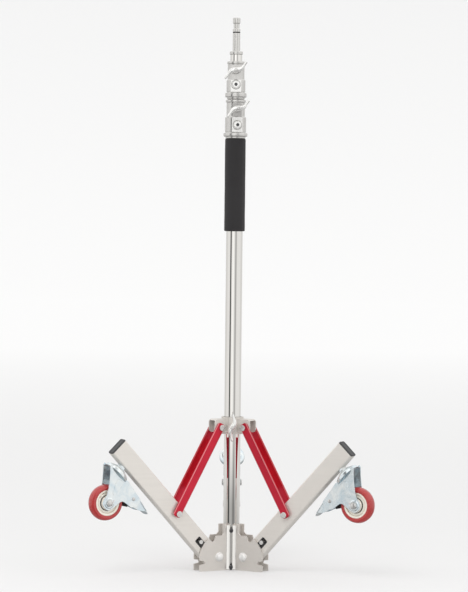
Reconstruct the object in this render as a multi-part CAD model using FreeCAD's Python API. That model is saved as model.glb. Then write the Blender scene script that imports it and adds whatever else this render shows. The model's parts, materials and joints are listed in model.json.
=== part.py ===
import FreeCAD, Part
import os
from math import asin, cos, degrees, hypot, radians, sin, sqrt

V = FreeCAD.Vector

# ---------------------------------------------------------------- driving dimensions, mm and degrees

# Frame: +Z up along the column, origin at the middle of the base plug's underside.
LEG_AZIMUTHS = [210.0, 330.0, 90.0]
LEG_ANGLE = 47.0            # of the legs above the horizontal, as stored

# Running clearances
SLIDE_GAP = 0.3             # between tubes, bushes and liners that slide
PIVOT_GAP = 0.08            # radial, around pins and bolts that turn
SIDE_GAP = 0.5              # between plates that swing past each other

# Column and risers
COLUMN_D = 35.0
TUBE_WALL = 1.5
RISER_GAP = 1.0             # between each tube and the next one inside it
MIDDLE_D = COLUMN_D - 2 * TUBE_WALL - 2 * RISER_GAP
INNER_D = MIDDLE_D - 2 * TUBE_WALL - 2 * RISER_GAP
COLUMN_BOTTOM = 2.0
LOWER_COLLAR_Z = 913.0      # bottom of the lower collar's neck
COLLAR_STACK_GAP = 1.0      # between the two collars with the stand closed
TUBE_IN_COLLAR = 41.0       # how far a collar takes the tube that carries it
MIDDLE_BOTTOM = 62.0
INNER_BOTTOM = 76.0
INNER_SHOWN = 14.0          # of the inner tube above the upper collar, closed
BUSH_H = 26.0
BUSH_LIP = 4.0
LINER_WALL = 2.0
COLLAR_LIP = 3.0            # of the collar's casting above its liner
PLUG_H = 24.0
PLUG_FLOOR = 4.0
PLUG_HOLLOW_R = 9.0

# Spigot
SPIGOT_D = 16.0
SPIGOT_NECK_D = 12.5
SPIGOT_RING_OVER = 1.5      # of the end ring past the inner tube
SPIGOT_RING_H = 7.0
SPIGOT_LENGTH = 71.0        # above the end ring
SPIGOT_HEAD_H = 12.0
SPIGOT_NECK_H = 12.0
SPIGOT_SHOULDER_H = 6.0
SPIGOT_SLOPE = 1.0          # of the neck's two ends
SPIGOT_EDGE = 1.2           # of the spigot's top and the end ring
GROOVE_W = 2.4
GROOVE_DEPTH = 1.2
SPIGOT_ROOT = 40.0          # plug inside the inner tube

# Foam grip
GRIP_D = 44.0
GRIP_GAP = 0.4              # under the lower collar
GRIP_LENGTH = 195.6

# Clamp collars: (outside diameter, height) from the bottom up, three steps around
# the tube that carries the collar and two around the tube that slides in it
LOWER_COLLAR_STEPS = [(COLUMN_D + 7.5, 4.0), (COLUMN_D + 16.0, 8.5), (COLUMN_D + 9.7, 33.0),
                      (MIDDLE_D + 9.0, 30.5), (MIDDLE_D + 13.0, 6.0)]
UPPER_COLLAR_STEPS = [(MIDDLE_D + 8.0, 4.0), (MIDDLE_D + 15.5, 10.0), (MIDDLE_D + 10.0, 27.0),
                      (INNER_D + 10.6, 33.0), (INNER_D + 13.0, 6.0)]
LOWER_COLLAR_TURN = 9.0     # degrees to the right of the front
COLLAR_BOLT_HEAD_D = 20.0
COLLAR_BOLT_HEAD_H = 7.0
COLLAR_BOLT_D = 10.0
COLLAR_BOLT_SOCKET_D = 9.0
COLLAR_BOLT_SOCKET_DEPTH = 3.0
COLLAR_BOLT_SEAT = 1.0      # of the bolt's pad, proud of the thicker body
LOWER_BOLT_UP = 28.0        # above the collar's bottom
UPPER_BOLT_UP = 30.0
LOWER_SCREW_UP = 62.0
UPPER_SCREW_UP = 60.0
COLLAR_BOSS_D = 16.0
COLLAR_BOSS_PROUD = 5.0     # of the thicker body

# T-handles
SCREW_D = 8.0
HANDLE_MIDDLE = 12.0        # straight middle of the rod
HANDLE_BEND = 48.0          # degrees, at each side of the middle
HANDLE_BEND_R = 10.0
HANDLE_END = 15.0           # straight end past each bend
HANDLE_ROD_D = 5.6
HANDLE_BARREL_D = 9.0
HANDLE_BARREL_L = 17.0
HANDLE_NOSE = 4.0           # of the screw's end past the rod
HANDLE_STANDOFF = 10.0      # of the rod from the collar's boss
UPPER_HANDLE_TURN = 6.0     # of the rod's middle, from level, seen from the front
LOWER_HANDLE_TURN = 6.0
SPREADER_HANDLE_TURN = 58.0

# Base brackets
LEG_SIDE_GAP = 1.0          # between a leg and each cheek of its bracket
BRACKET_GAP = 0.6           # least, between two brackets
BRACKET_WALL = 3.0
BRACKET_WEB = 2.5
BRACKET_LOW_H = 74.0
BRACKET_TALL_H = 96.0
BRACKET_TALL_OUT = 6.5      # of the tall part, from the column
BRACKET_LEDGE = 8.1         # of the ledge's end, past the leg's pivot
BRACKET_STEP = 6.0          # slope between the ledge and the tall part
BRACKET_REACH = 47.0        # from the leg's pivot to the outer edge
BRACKET_CORNER = 3.0
NOTCH_RADIUS = 37.0         # of the lock notches' floors, about the leg's pivot
NOTCH_HALF = 4.5            # degrees, half the notch's floor
LOW_NOTCH = -16.0
LOW_NOTCH_LIPS = (-19.0, -7.0)
TOP_NOTCH = 66.0
TOP_NOTCH_LIPS = (58.0, 79.0)
TOP_NOTCH_RADIUS = 36.0
BASE_SCREW_D = 5.0
BASE_SCREW_HEAD_D = 8.5
BASE_SCREW_HEAD_H = 8.0
BASE_SCREW_ZS = (6.5, 84.0)
BASE_SCREW_GAP = 0.2        # between a screw's head and the brackets beside it

# Legs
PIVOT_OUT = 19.1            # from the column
PIVOT_Z = 29.1
PIVOT_BOLT_D = 10.0
PIVOT_HEAD_AF = 17.0
PIVOT_HEAD_H = 6.4
PIVOT_BOLT_END = 2.0        # of the bolt past its nut
WASHER_D = 20.0
WASHER_H = 1.6
LEG_H = 40.0
LEG_W = 20.0
LEG_WALL = 1.5
LEG_CORNER = 3.0
LEG_ABOVE = 9.7             # of the leg's top face over the line through its pivot
LEG_BACK = 8.0
LEG_LENGTH = 337.0          # from the pivot to the open end
LEG_HEEL_CUT = 8.0
CAP_H = 3.5
CAP_PLUG = 15.0
LOCK_PIN_D = 6.0
LOCK_PIN_AT = 56.0
LOCK_PIN_TRAVEL = 5.0
LOCK_SLOT_START = 44.0
LOCK_SLOT_H = 13.0
LOCK_SLOT_CORNER = 2.5
LOCK_CLIP_D = 9.0
LOCK_CLIP_W = 1.0
LOCK_PIN_REACH = 3.0        # of the pin past each cheek

# Spreader and struts
SPREADER_PIN_OUT = 16.8     # from the column
SPREADER_PIN_Z = 301.9
SPREADER_BELOW = 13.9       # of the ring, under the pins
SPREADER_ABOVE = 22.1
SPREADER_RING_WALL = 4.0
SPREADER_LINER_WALL = 1.7
ARM_OUT = 28.0
ARM_WALL = 2.8
ARM_NOSE = 15.7             # past the pin
ARM_BELOW = 9.9
ARM_ABOVE = 18.1
ARM_CORNER = 7.0
SPREADER_BOSS_D = 16.0
SPREADER_BOSS_OUT = 14.5    # from the column
SPREADER_SCREW_UP = 2.0     # above the strut pins
STRUT_PIN_D = 8.0
STRUT_HEAD_D = 13.0
STRUT_HEAD_H = 2.2
STRUT_WALL = 2.0
STRUT_BEND = 3.0
STRUT_WEB_SIDE = 6.5        # from the pin line to the web's outer face
STRUT_OPEN_SIDE = 13.0      # from the pin line to the free edges
STRUT_END = 7.5
STRUT_END_ROUND = 6.4
STRUT_WEB_TOP_CUT = 27.0
STRUT_WEB_FOOT_CUT = 62.0
STRUT_PIN_ALONG = 137.0     # of the strut's lower pin, along the leg from its pivot
STRUT_PIN_DROP = 7.6        # of the strut's lower pin, under the line through the leg's pivot
STRUT_STUB_GAP = 0.5        # between the stub rivet and the leg's side
STRUT_STUB_D = 10.0

# Casters, in their own frame: "back" runs from the swivel axis towards the leg's pivot,
# "down" runs square off the leg's underside
STEM_INSET = 37.0           # of the stem from the leg's open end
STEM_D = 10.0
STEM_INSIDE = 16.0
STEM_NUT_AF = 13.5          # of the nut inside the leg
NUT_AF = 17.0
NUT_H = 8.0
RACE_D = 34.0
RACE_H = 2.0
CROWN_D = 57.0
CROWN_TOP = 10.6
CROWN_H = 11.4
CROWN_WALL = 2.5
KINGPIN_HEAD_D = 16.0
KINGPIN_HEAD_H = 4.0
WHEEL_BACK = 28.0
WHEEL_D = 75.0
WHEEL_TOP_GAP = 39.9        # between the leg's underside and the tread
WHEEL_W = 25.0
TYRE_SHOULDER = 5.0
TYRE_EDGE = 1.5             # of the tyre's side, in from the shoulder
TREAD_DEPTH = 10.5
CORE_W = 22.0
CORE_WEB_W = 12.0
CORE_RIM = 3.5
HUB_D = 30.0
HUB_W = 29.0
AXLE_D = 8.0
AXLE_HEAD_AF = 13.0
AXLE_HEAD_H = 4.5
FORK_IN = 31.0
FORK_WALL = 2.5
BOSS_R = 14.5
CROWN_EDGE = [(7.0, 0.0), (1.5, 3.5), (0.0, 6.0)]       # in from the rim, below the top
CROWN_PLATE_TOP = 6.5       # of the side plates, below the crown's top
FORK_AT_WHEEL = [(-42.0, -27.4), (-24.0, -9.4), (-14.3, 3.0), (14.3, 0.0), (17.0, -24.4)]
FORK_AT_PEDAL = [(9.0, 16.0), (18.0, 6.0), (14.0, -10.5)]
PEDAL_PIN_BACK = 62.0
PEDAL_PIN_DOWN = 32.0
PEDAL_PIN_D = 5.0
PEDAL_PIN_HEAD_D = 8.0
PEDAL_PIN_HEAD_H = 1.5
PEDAL_W = 26.0
PEDAL_WALL = 2.0
PEDAL_TIP_BACK = 114.0
PEDAL_TIP_DOWN = 27.6
PEDAL_TIP_T = 3.0
PEDAL_START = (-3.0, -13.0)     # of the top plate, from the pin: back, down
PEDAL_CHEEK = [(30.0, 5.0), (12.0, 12.0), (-8.0, 14.0), (-9.0, -2.0)]
SHOE_GAP = 2.2
SHOE_H = 7.0
SHOE_HOLLOW = 0.4           # of the shoe's face at its middle
SHOE_ANGLES = (-60.0, -34.0)    # about the axle, from straight back, downwards positive

# ---------------------------------------------------------------- derived places

LOWER_COLLAR_TOP = LOWER_COLLAR_Z + sum(height for _, height in LOWER_COLLAR_STEPS)
UPPER_COLLAR_Z = LOWER_COLLAR_TOP + COLLAR_STACK_GAP
UPPER_COLLAR_TOP = UPPER_COLLAR_Z + sum(height for _, height in UPPER_COLLAR_STEPS)
COLUMN_TOP = LOWER_COLLAR_Z + TUBE_IN_COLLAR
MIDDLE_TOP = UPPER_COLLAR_Z + TUBE_IN_COLLAR
INNER_TOP = UPPER_COLLAR_TOP + INNER_SHOWN
GRIP_TOP = LOWER_COLLAR_Z - GRIP_GAP
BRACKET_IN = LEG_W + 2 * LEG_SIDE_GAP
BRACKET_TALL_R = COLUMN_D / 2 + BRACKET_TALL_OUT
PIVOT_R = COLUMN_D / 2 + PIVOT_OUT
SPREADER_PIN_R = COLUMN_D / 2 + SPREADER_PIN_OUT
SPREADER_BOSS_R = COLUMN_D / 2 + SPREADER_BOSS_OUT
SPREADER_SCREW_Z = SPREADER_PIN_Z + SPREADER_SCREW_UP
ARM_REACH = SPREADER_PIN_R + ARM_NOSE
STEM_AT = LEG_LENGTH - STEM_INSET
WHEEL_DOWN = WHEEL_D / 2 + WHEEL_TOP_GAP
CORE_D = WHEEL_D - 2 * TREAD_DEPTH
LEG_UNDER = LEG_ABOVE - LEG_H
LEG_MIDLINE = LEG_ABOVE - LEG_H / 2
CHEEK_OUT = BRACKET_IN / 2 + BRACKET_WALL
STRUT_FOOT_R = PIVOT_R + STRUT_PIN_ALONG * cos(radians(LEG_ANGLE)) + STRUT_PIN_DROP * sin(radians(LEG_ANGLE))
STRUT_FOOT_Z = PIVOT_Z + STRUT_PIN_ALONG * sin(radians(LEG_ANGLE)) - STRUT_PIN_DROP * cos(radians(LEG_ANGLE))
STRUT_LENGTH = hypot(STRUT_FOOT_R - SPREADER_PIN_R, STRUT_FOOT_Z - SPREADER_PIN_Z)
STRUT_SLOPE = degrees(asin((STRUT_FOOT_R - SPREADER_PIN_R) / STRUT_LENGTH))     # off the vertical
STRUT_IN = ARM_OUT / 2 + SIDE_GAP
STRUT_OUT = STRUT_IN + STRUT_WALL
FORK_OUT = FORK_IN / 2 + FORK_WALL


# ---------------------------------------------------------------- shape helpers

def box(x_low, x_high, y_low, y_high, z_low, z_high):
    return Part.makeBox(x_high - x_low, y_high - y_low, z_high - z_low, V(x_low, y_low, z_low))


def disc(diameter, z_low, z_high):
    return Part.makeCylinder(diameter / 2, z_high - z_low, V(0, 0, z_low))


def tube(outer_d, inner_d, z_low, z_high):
    return disc(outer_d, z_low, z_high).cut(disc(inner_d, z_low - 1, z_high + 1))


def cross_rod(diameter, x, z, y_low, y_high):
    """A round bar across the part, along Y."""
    return Part.makeCylinder(diameter / 2, y_high - y_low, V(x, y_low, z), V(0, 1, 0))


def front_rod(diameter, r_low, r_high, z):
    """A round bar that points to the front, along -Y."""
    return Part.makeCylinder(diameter / 2, r_high - r_low, V(0, -r_low, z), V(0, -1, 0))


def hexagon(across_flats, z_low, z_high):
    corner = across_flats / sqrt(3)
    points = [V(corner * cos(radians(60 * i)), corner * sin(radians(60 * i)), z_low) for i in range(7)]
    return Part.Face(Part.makePolygon(points)).extrude(V(0, 0, z_high - z_low))


def cross_hexagon(across_flats, x, z, y_low, y_high):
    shape = hexagon(across_flats, y_low, y_high)
    shape.rotate(V(0, 0, 0), V(1, 0, 0), -90)
    shape.translate(V(x, 0, z))
    return shape


def slab(outline, y_low, y_high):
    """A flat plate whose outline is given in X and Z."""
    points = [V(x, y_low, z) for x, z in outline]
    return Part.Face(Part.makePolygon(points + points[:1])).extrude(V(0, y_high - y_low, 0))


def turned(profile):
    """A solid of revolution about Z; the profile is given as radius and height."""
    points = [V(radius, 0, height) for radius, height in profile]
    return Part.Face(Part.makePolygon(points + points[:1])).revolve(V(0, 0, 0), V(0, 0, 1), 360)


def rounded_outline(a_low, a_high, b_low, b_high, radius, point):
    """A rectangle with round corners; point(a, b) places it in space."""
    k = radius * (1 - sqrt(0.5))
    corners = [
        ((a_high - radius, b_low), (a_high - k, b_low + k), (a_high, b_low + radius)),
        ((a_high, b_high - radius), (a_high - k, b_high - k), (a_high - radius, b_high)),
        ((a_low + radius, b_high), (a_low + k, b_high - k), (a_low, b_high - radius)),
        ((a_low, b_low + radius), (a_low + k, b_low + k), (a_low + radius, b_low)),
    ]
    edges = []
    for i, (start, middle, end) in enumerate(corners):
        following = corners[(i + 1) % 4][0]
        edges.append(Part.Arc(point(*start), point(*middle), point(*end)).toShape())
        edges.append(Part.LineSegment(point(*end), point(*following)).toShape())
    return Part.Face(Part.Wire(edges))


def at_azimuth(shape, azimuth):
    copy = shape.copy()
    copy.rotate(V(0, 0, 0), V(0, 0, 1), azimuth)
    return copy


def on_leg(shape, azimuth):
    """From a leg's frame (X along the leg from its pivot, Z square to it) to its place."""
    copy = shape.copy()
    copy.rotate(V(0, 0, 0), V(0, 1, 0), -LEG_ANGLE)
    copy.translate(V(PIVOT_R, 0, PIVOT_Z))
    return at_azimuth(copy, azimuth)


def on_caster(shape, azimuth):
    copy = shape.copy()
    copy.translate(V(STEM_AT, 0, LEG_UNDER))
    return on_leg(copy, azimuth)


def on_strut(shape, azimuth):
    """From a strut's frame (X from the upper pin to the lower one, Z to its open side)."""
    copy = shape.copy()
    copy.rotate(V(0, 0, 0), V(0, 1, 0), 90 - STRUT_SLOPE)
    copy.translate(V(SPREADER_PIN_R, 0, SPREADER_PIN_Z))
    return at_azimuth(copy, azimuth)


def caster_slab(outline, y_low, y_high):
    return slab([(-back, -down) for back, down in outline], y_low, y_high)


def caster_rod(diameter, back, down, y_low, y_high):
    return cross_rod(diameter, -back, -down, y_low, y_high)


def write(name, *solids):
    shape = solids[0] if len(solids) == 1 else Part.makeCompound(list(solids))
    shape.exportStep("parts/" + name + ".step")


# ---------------------------------------------------------------- column and risers

def base_screw(height, shank_only=False):
    """One socket screw in a gap between two brackets, along X."""
    head_r = (CHEEK_OUT + BASE_SCREW_HEAD_D / 2 + BASE_SCREW_GAP) / sin(radians(60))
    head = Part.makeCylinder(BASE_SCREW_HEAD_D / 2, BASE_SCREW_HEAD_H, V(head_r, 0, height), V(1, 0, 0))
    socket = Part.makeCylinder(BASE_SCREW_D / 2, BASE_SCREW_HEAD_H / 2,
                               V(head_r + BASE_SCREW_HEAD_H / 2, 0, height), V(1, 0, 0))
    shank_r = COLUMN_D / 2 - TUBE_WALL
    shank = Part.makeCylinder(BASE_SCREW_D / 2, head_r - shank_r, V(shank_r, 0, height), V(1, 0, 0))
    return shank if shank_only else head.cut(socket).fuse(shank).removeSplitter()


def base_screw_places():
    return [(azimuth + 60, height) for azimuth in LEG_AZIMUTHS for height in BASE_SCREW_ZS]


def base_plug():
    inside = COLUMN_D - 2 * TUBE_WALL
    plug = disc(COLUMN_D, 0, COLUMN_BOTTOM).fuse(disc(inside, COLUMN_BOTTOM, PLUG_H)).removeSplitter()
    hollow = Part.makeCylinder(PLUG_HOLLOW_R, PLUG_H, V(0, 0, COLUMN_BOTTOM + PLUG_FLOOR))
    return plug.cut(hollow)


def column_tube():
    shape = tube(COLUMN_D, COLUMN_D - 2 * TUBE_WALL, COLUMN_BOTTOM, COLUMN_TOP)
    for azimuth, height in base_screw_places():
        shape = shape.cut(at_azimuth(base_screw(height, shank_only=True), azimuth))
    return shape


def riser_tube(diameter, bottom, top):
    return tube(diameter, diameter - 2 * TUBE_WALL, bottom, top)


def guide_bush(outer_tube_d, own_tube_d, bottom):
    """Plug and skirt at the foot of a riser: the lip slides in the tube outside it."""
    lip = disc(outer_tube_d - 2 * TUBE_WALL - 2 * SLIDE_GAP, bottom - BUSH_LIP, bottom)
    plug = disc(own_tube_d - 2 * TUBE_WALL, bottom, bottom + BUSH_H - BUSH_LIP)
    return lip.fuse(plug).removeSplitter()


def spigot_base():
    return INNER_TOP + SPIGOT_RING_H


def groove_z():
    top = spigot_base() + SPIGOT_LENGTH
    return top - SPIGOT_HEAD_H - SPIGOT_NECK_H - SPIGOT_SHOULDER_H - GROOVE_W


def spigot():
    base = spigot_base()
    top = base + SPIGOT_LENGTH
    radius = SPIGOT_D / 2
    neck = SPIGOT_NECK_D / 2
    root = (INNER_D - 2 * TUBE_WALL) / 2
    neck_top = top - SPIGOT_HEAD_H
    neck_low = neck_top - SPIGOT_NECK_H
    groove = groove_z()
    ring = INNER_D / 2 + SPIGOT_RING_OVER
    edge = SPIGOT_EDGE
    slope = SPIGOT_SLOPE
    profile = [
        (0, INNER_TOP - SPIGOT_ROOT),
        (root, INNER_TOP - SPIGOT_ROOT),
        (root, INNER_TOP),
        (ring - edge, INNER_TOP),
        (ring, INNER_TOP + edge),
        (ring, base - edge),
        (ring - edge, base),
        (radius, base),
        (radius, groove),
        (radius - GROOVE_DEPTH, groove),
        (radius - GROOVE_DEPTH, groove + GROOVE_W),
        (radius, groove + GROOVE_W),
        (radius, neck_low - slope),
        (neck, neck_low + slope),
        (neck, neck_top - slope),
        (radius, neck_top + slope / 2),
        (radius, top - edge),
        (radius - edge, top),
        (0, top),
    ]
    return turned(profile)


def spigot_ring():
    return tube(SPIGOT_D - 0.1, SPIGOT_D - 2 * GROOVE_DEPTH, groove_z(), groove_z() + GROOVE_W)


def foam_grip():
    return tube(GRIP_D, COLUMN_D, GRIP_TOP - GRIP_LENGTH, GRIP_TOP)


# ---------------------------------------------------------------- clamp collars and T-handles

def collar_steps(steps, bottom):
    shape = None
    for diameter, height in steps:
        ring = disc(diameter, bottom, bottom + height)
        shape = ring if shape is None else shape.fuse(ring)
        bottom += height
    return shape.removeSplitter()


def liner_d(riser_d):
    return riser_d + 2 * SLIDE_GAP + 2 * LINER_WALL


def liner(riser_d, tube_top, collar_top):
    return tube(liner_d(riser_d), riser_d + 2 * SLIDE_GAP, tube_top, collar_top - COLLAR_LIP)


def collar(steps, bottom, carrier_d, riser_d, bolt_up, screw_up):
    """A clamp casting seated on the carrier tube, around the riser that slides in it."""
    top = bottom + sum(height for _, height in steps)
    widest = max(diameter for diameter, _ in steps[2:]) / 2
    boss = front_rod(COLLAR_BOSS_D, 0, widest + COLLAR_BOSS_PROUD, bottom + screw_up)
    bolt_boss = front_rod(COLLAR_BOLT_HEAD_D, 0, widest + COLLAR_BOLT_SEAT, bottom + bolt_up)
    shape = collar_steps(steps, bottom).fuse(boss).fuse(bolt_boss).removeSplitter()
    shape = shape.cut(disc(carrier_d, bottom - 1, bottom + TUBE_IN_COLLAR))
    shape = shape.cut(disc(liner_d(riser_d), bottom + TUBE_IN_COLLAR, top - COLLAR_LIP))
    shape = shape.cut(disc(riser_d + 2 * SLIDE_GAP, top - COLLAR_LIP - 1, top + 1))
    screw_hole = front_rod(SCREW_D + 2 * PIVOT_GAP, 0, 2 * widest, bottom + screw_up)
    bolt_hole = front_rod(COLLAR_BOLT_D, 0, 2 * widest, bottom + bolt_up)
    return shape.cut(screw_hole).cut(bolt_hole)


def collar_bolt(steps, bottom, carrier_d, bolt_up):
    widest = max(diameter for diameter, _ in steps[2:]) / 2
    z = bottom + bolt_up
    seat = widest + COLLAR_BOLT_SEAT
    face = seat + COLLAR_BOLT_HEAD_H
    head = front_rod(COLLAR_BOLT_HEAD_D, seat, face, z)
    socket = front_rod(COLLAR_BOLT_SOCKET_D, face - COLLAR_BOLT_SOCKET_DEPTH, face + 1, z)
    shank = front_rod(COLLAR_BOLT_D, carrier_d / 2, seat, z)
    shank = shank.cut(disc(carrier_d, z - COLLAR_BOLT_D, z + COLLAR_BOLT_D))
    return head.fuse(shank).cut(socket).removeSplitter()


def handle_rod():
    """The bent rod of a T-handle, in the XZ plane: level in the middle, ends bent opposite ways."""
    bend = radians(HANDLE_BEND)
    shoulder = V(HANDLE_MIDDLE / 2, 0, 0)
    arc_middle = shoulder + V(sin(bend / 2), 0, 1 - cos(bend / 2)) * HANDLE_BEND_R
    arc_end = shoulder + V(sin(bend), 0, 1 - cos(bend)) * HANDLE_BEND_R
    tip = arc_end + V(cos(bend), 0, sin(bend)) * HANDLE_END
    path = Part.Wire([
        Part.LineSegment(-tip, -arc_end).toShape(),
        Part.Arc(-arc_end, -arc_middle, -shoulder).toShape(),
        Part.LineSegment(-shoulder, shoulder).toShape(),
        Part.Arc(shoulder, arc_middle, arc_end).toShape(),
        Part.LineSegment(arc_end, tip).toShape(),
    ])
    section = Part.Wire(Part.makeCircle(HANDLE_ROD_D / 2, -tip, arc_end - tip))
    rod = path.makePipeShell([section], True, False)
    for end in (tip, -tip):
        rod = rod.fuse(Part.makeSphere(HANDLE_ROD_D / 2, end))
    return rod


def t_handle(screw_start, boss_end, height, turn):
    """The bent rod through the head of its clamp screw, standing clear of the boss."""
    rod_r = boss_end + HANDLE_STANDOFF
    rod = handle_rod()
    barrel_start = V(-HANDLE_BARREL_L / 2, 0, 0)
    barrel = Part.makeCylinder(HANDLE_BARREL_D / 2, HANDLE_BARREL_L, barrel_start, V(1, 0, 0))
    rod = rod.fuse(barrel)
    rod.rotate(V(0, 0, 0), V(0, 1, 0), -turn)
    rod.translate(V(0, -rod_r, height))
    screw = front_rod(SCREW_D, screw_start, rod_r + HANDLE_BARREL_D / 2 + HANDLE_NOSE, height)
    return rod.fuse(screw).removeSplitter()


# ---------------------------------------------------------------- base brackets and leg pivots

def about_pivot(angle, radius):
    return V(PIVOT_R + radius * cos(radians(angle)), 0, PIVOT_Z + radius * sin(radians(angle)))


def cheek_face():
    """A bracket's cheek in X and Z: foot, lock notches about the pivot, and the tall part."""
    reach = PIVOT_R + BRACKET_REACH
    low_lip = V(reach, 0, PIVOT_Z + BRACKET_REACH * sin(radians(LOW_NOTCH_LIPS[0])))
    high_lip = about_pivot(LOW_NOTCH_LIPS[1], BRACKET_REACH)
    top_lip = about_pivot(TOP_NOTCH_LIPS[0], BRACKET_REACH)
    ledge = V(PIVOT_R + BRACKET_LEDGE, 0, BRACKET_LOW_H)
    corner = BRACKET_CORNER
    k = corner * (1 - sqrt(0.5))
    arc_middle = about_pivot((LOW_NOTCH_LIPS[1] + TOP_NOTCH_LIPS[0]) / 2, BRACKET_REACH)
    low_floor = [about_pivot(LOW_NOTCH + side * NOTCH_HALF, NOTCH_RADIUS) for side in (-1, 1)]
    top_floor = [about_pivot(TOP_NOTCH + side * NOTCH_HALF, TOP_NOTCH_RADIUS) for side in (-1, 1)]
    step = BRACKET_STEP
    line = Part.LineSegment
    edges = [
        line(V(0, 0, 0), V(reach - corner, 0, 0)),
        Part.Arc(V(reach - corner, 0, 0), V(reach - k, 0, k), V(reach, 0, corner)),
        line(V(reach, 0, corner), low_lip),
        line(low_lip, low_floor[0]),
        line(low_floor[0], low_floor[1]),
        line(low_floor[1], high_lip),
        Part.Arc(high_lip, arc_middle, top_lip),
        line(top_lip, top_floor[0]),
        line(top_floor[0], top_floor[1]),
        line(top_floor[1], ledge),
        line(ledge, V(BRACKET_TALL_R + step, 0, BRACKET_LOW_H)),
        line(V(BRACKET_TALL_R + step, 0, BRACKET_LOW_H), V(BRACKET_TALL_R, 0, BRACKET_LOW_H + step)),
        line(V(BRACKET_TALL_R, 0, BRACKET_LOW_H + step), V(BRACKET_TALL_R, 0, BRACKET_TALL_H)),
        line(V(BRACKET_TALL_R, 0, BRACKET_TALL_H), V(0, 0, BRACKET_TALL_H)),
        line(V(0, 0, BRACKET_TALL_H), V(0, 0, 0)),
    ]
    return Part.Face(Part.Wire([edge.toShape() for edge in edges]))


def base_bracket():
    """A formed U: two cheeks joined by a web that hugs the column."""
    face = cheek_face()
    cheeks = []
    for y_low in (BRACKET_IN / 2, -CHEEK_OUT):
        placed = face.copy()
        placed.translate(V(0, y_low, 0))
        cheeks.append(placed.extrude(V(0, BRACKET_WALL, 0)))
    web = disc(COLUMN_D + 2 * BRACKET_WEB, 0, BRACKET_TALL_H)
    web = web.common(box(0, COLUMN_D, -CHEEK_OUT, CHEEK_OUT, 0, BRACKET_TALL_H))
    shape = cheeks[0].fuse(cheeks[1]).fuse(web).removeSplitter()
    shape = shape.cut(disc(COLUMN_D, -1, BRACKET_TALL_H + 1))
    for height in BASE_SCREW_ZS:
        for side in (-60, 60):
            room = Part.makeCylinder(BASE_SCREW_D / 2 + BASE_SCREW_GAP, COLUMN_D, V(0, 0, height), V(1, 0, 0))
            shape = shape.cut(at_azimuth(room, side))
    sector = Part.makeCylinder(2 * (PIVOT_R + BRACKET_REACH), BRACKET_TALL_H, V(0, 0, 0), V(0, 0, 1), 120)
    sector = at_azimuth(sector, -60)
    sector.translate(V(BRACKET_GAP / 2 / sin(radians(60)), 0, 0))
    shape = shape.common(sector)
    return shape.cut(cross_rod(PIVOT_BOLT_D, PIVOT_R, PIVOT_Z, -CHEEK_OUT - 1, CHEEK_OUT + 1))


def pivot_bolt():
    """Hexagon bolt with a washer under its head and under its nut."""
    out = CHEEK_OUT
    head_start = out + WASHER_H
    shank = cross_rod(PIVOT_BOLT_D, PIVOT_R, PIVOT_Z, -head_start - PIVOT_HEAD_H - PIVOT_BOLT_END, head_start)
    head = cross_hexagon(PIVOT_HEAD_AF, PIVOT_R, PIVOT_Z, head_start, head_start + PIVOT_HEAD_H)
    nut = cross_hexagon(PIVOT_HEAD_AF, PIVOT_R, PIVOT_Z, -head_start - PIVOT_HEAD_H, -head_start)
    shape = shank.fuse(head).fuse(nut)
    for y_low in (out, -out - WASHER_H):
        shape = shape.fuse(cross_rod(WASHER_D, PIVOT_R, PIVOT_Z, y_low, y_low + WASHER_H))
    return shape.removeSplitter()


# ---------------------------------------------------------------- legs

def leg_section(inset, x_low, x_high):
    half = LEG_W / 2 - inset
    low = LEG_UNDER + inset
    high = LEG_ABOVE - inset
    radius = LEG_CORNER - inset
    face = rounded_outline(-half, half, low, high, radius, lambda a, b: V(x_low, a, b))
    return face.extrude(V(x_high - x_low, 0, 0))


def leg_tube():
    shape = leg_section(0, -LEG_BACK, LEG_LENGTH)
    shape = shape.cut(leg_section(LEG_WALL, -LEG_BACK - 1, LEG_LENGTH + 1))
    heel = [
        (-LEG_BACK - 1, LEG_UNDER - 1),
        (-LEG_BACK + LEG_HEEL_CUT, LEG_UNDER - 1),
        (-LEG_BACK - 1, LEG_UNDER + LEG_HEEL_CUT),
    ]
    shape = shape.cut(slab(heel, -LEG_W, LEG_W))
    bolt_hole = PIVOT_BOLT_D + 2 * PIVOT_GAP
    shape = shape.cut(cross_rod(bolt_hole, 0, 0, -LEG_W, LEG_W))
    slot_half = LOCK_SLOT_H / 2
    slot_end = LOCK_PIN_AT + LOCK_PIN_TRAVEL + LOCK_PIN_D / 2 + SLIDE_GAP
    slot = rounded_outline(LOCK_SLOT_START, slot_end, LEG_MIDLINE - slot_half, LEG_MIDLINE + slot_half,
                           LOCK_SLOT_CORNER, lambda a, b: V(a, -LEG_W, b))
    shape = shape.cut(slot.extrude(V(0, 2 * LEG_W, 0)))
    stem_hole = Part.makeCylinder(STEM_D / 2, 2 * LEG_WALL, V(STEM_AT, 0, LEG_UNDER - LEG_WALL / 2))
    return shape.cut(stem_hole)


def leg_end_cap():
    cap = leg_section(0, LEG_LENGTH, LEG_LENGTH + CAP_H)
    plug = leg_section(LEG_WALL, LEG_LENGTH - CAP_PLUG, LEG_LENGTH)
    return cap.fuse(plug).removeSplitter()


def lock_pin():
    reach = CHEEK_OUT + LOCK_PIN_REACH
    pin = cross_rod(LOCK_PIN_D, LOCK_PIN_AT, LEG_MIDLINE, -reach, reach)
    for y_low in (-reach, reach - LOCK_CLIP_W):
        pin = pin.fuse(cross_rod(LOCK_CLIP_D, LOCK_PIN_AT, LEG_MIDLINE, y_low, y_low + LOCK_CLIP_W))
    return pin.removeSplitter()


# ---------------------------------------------------------------- spreader and struts

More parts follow.
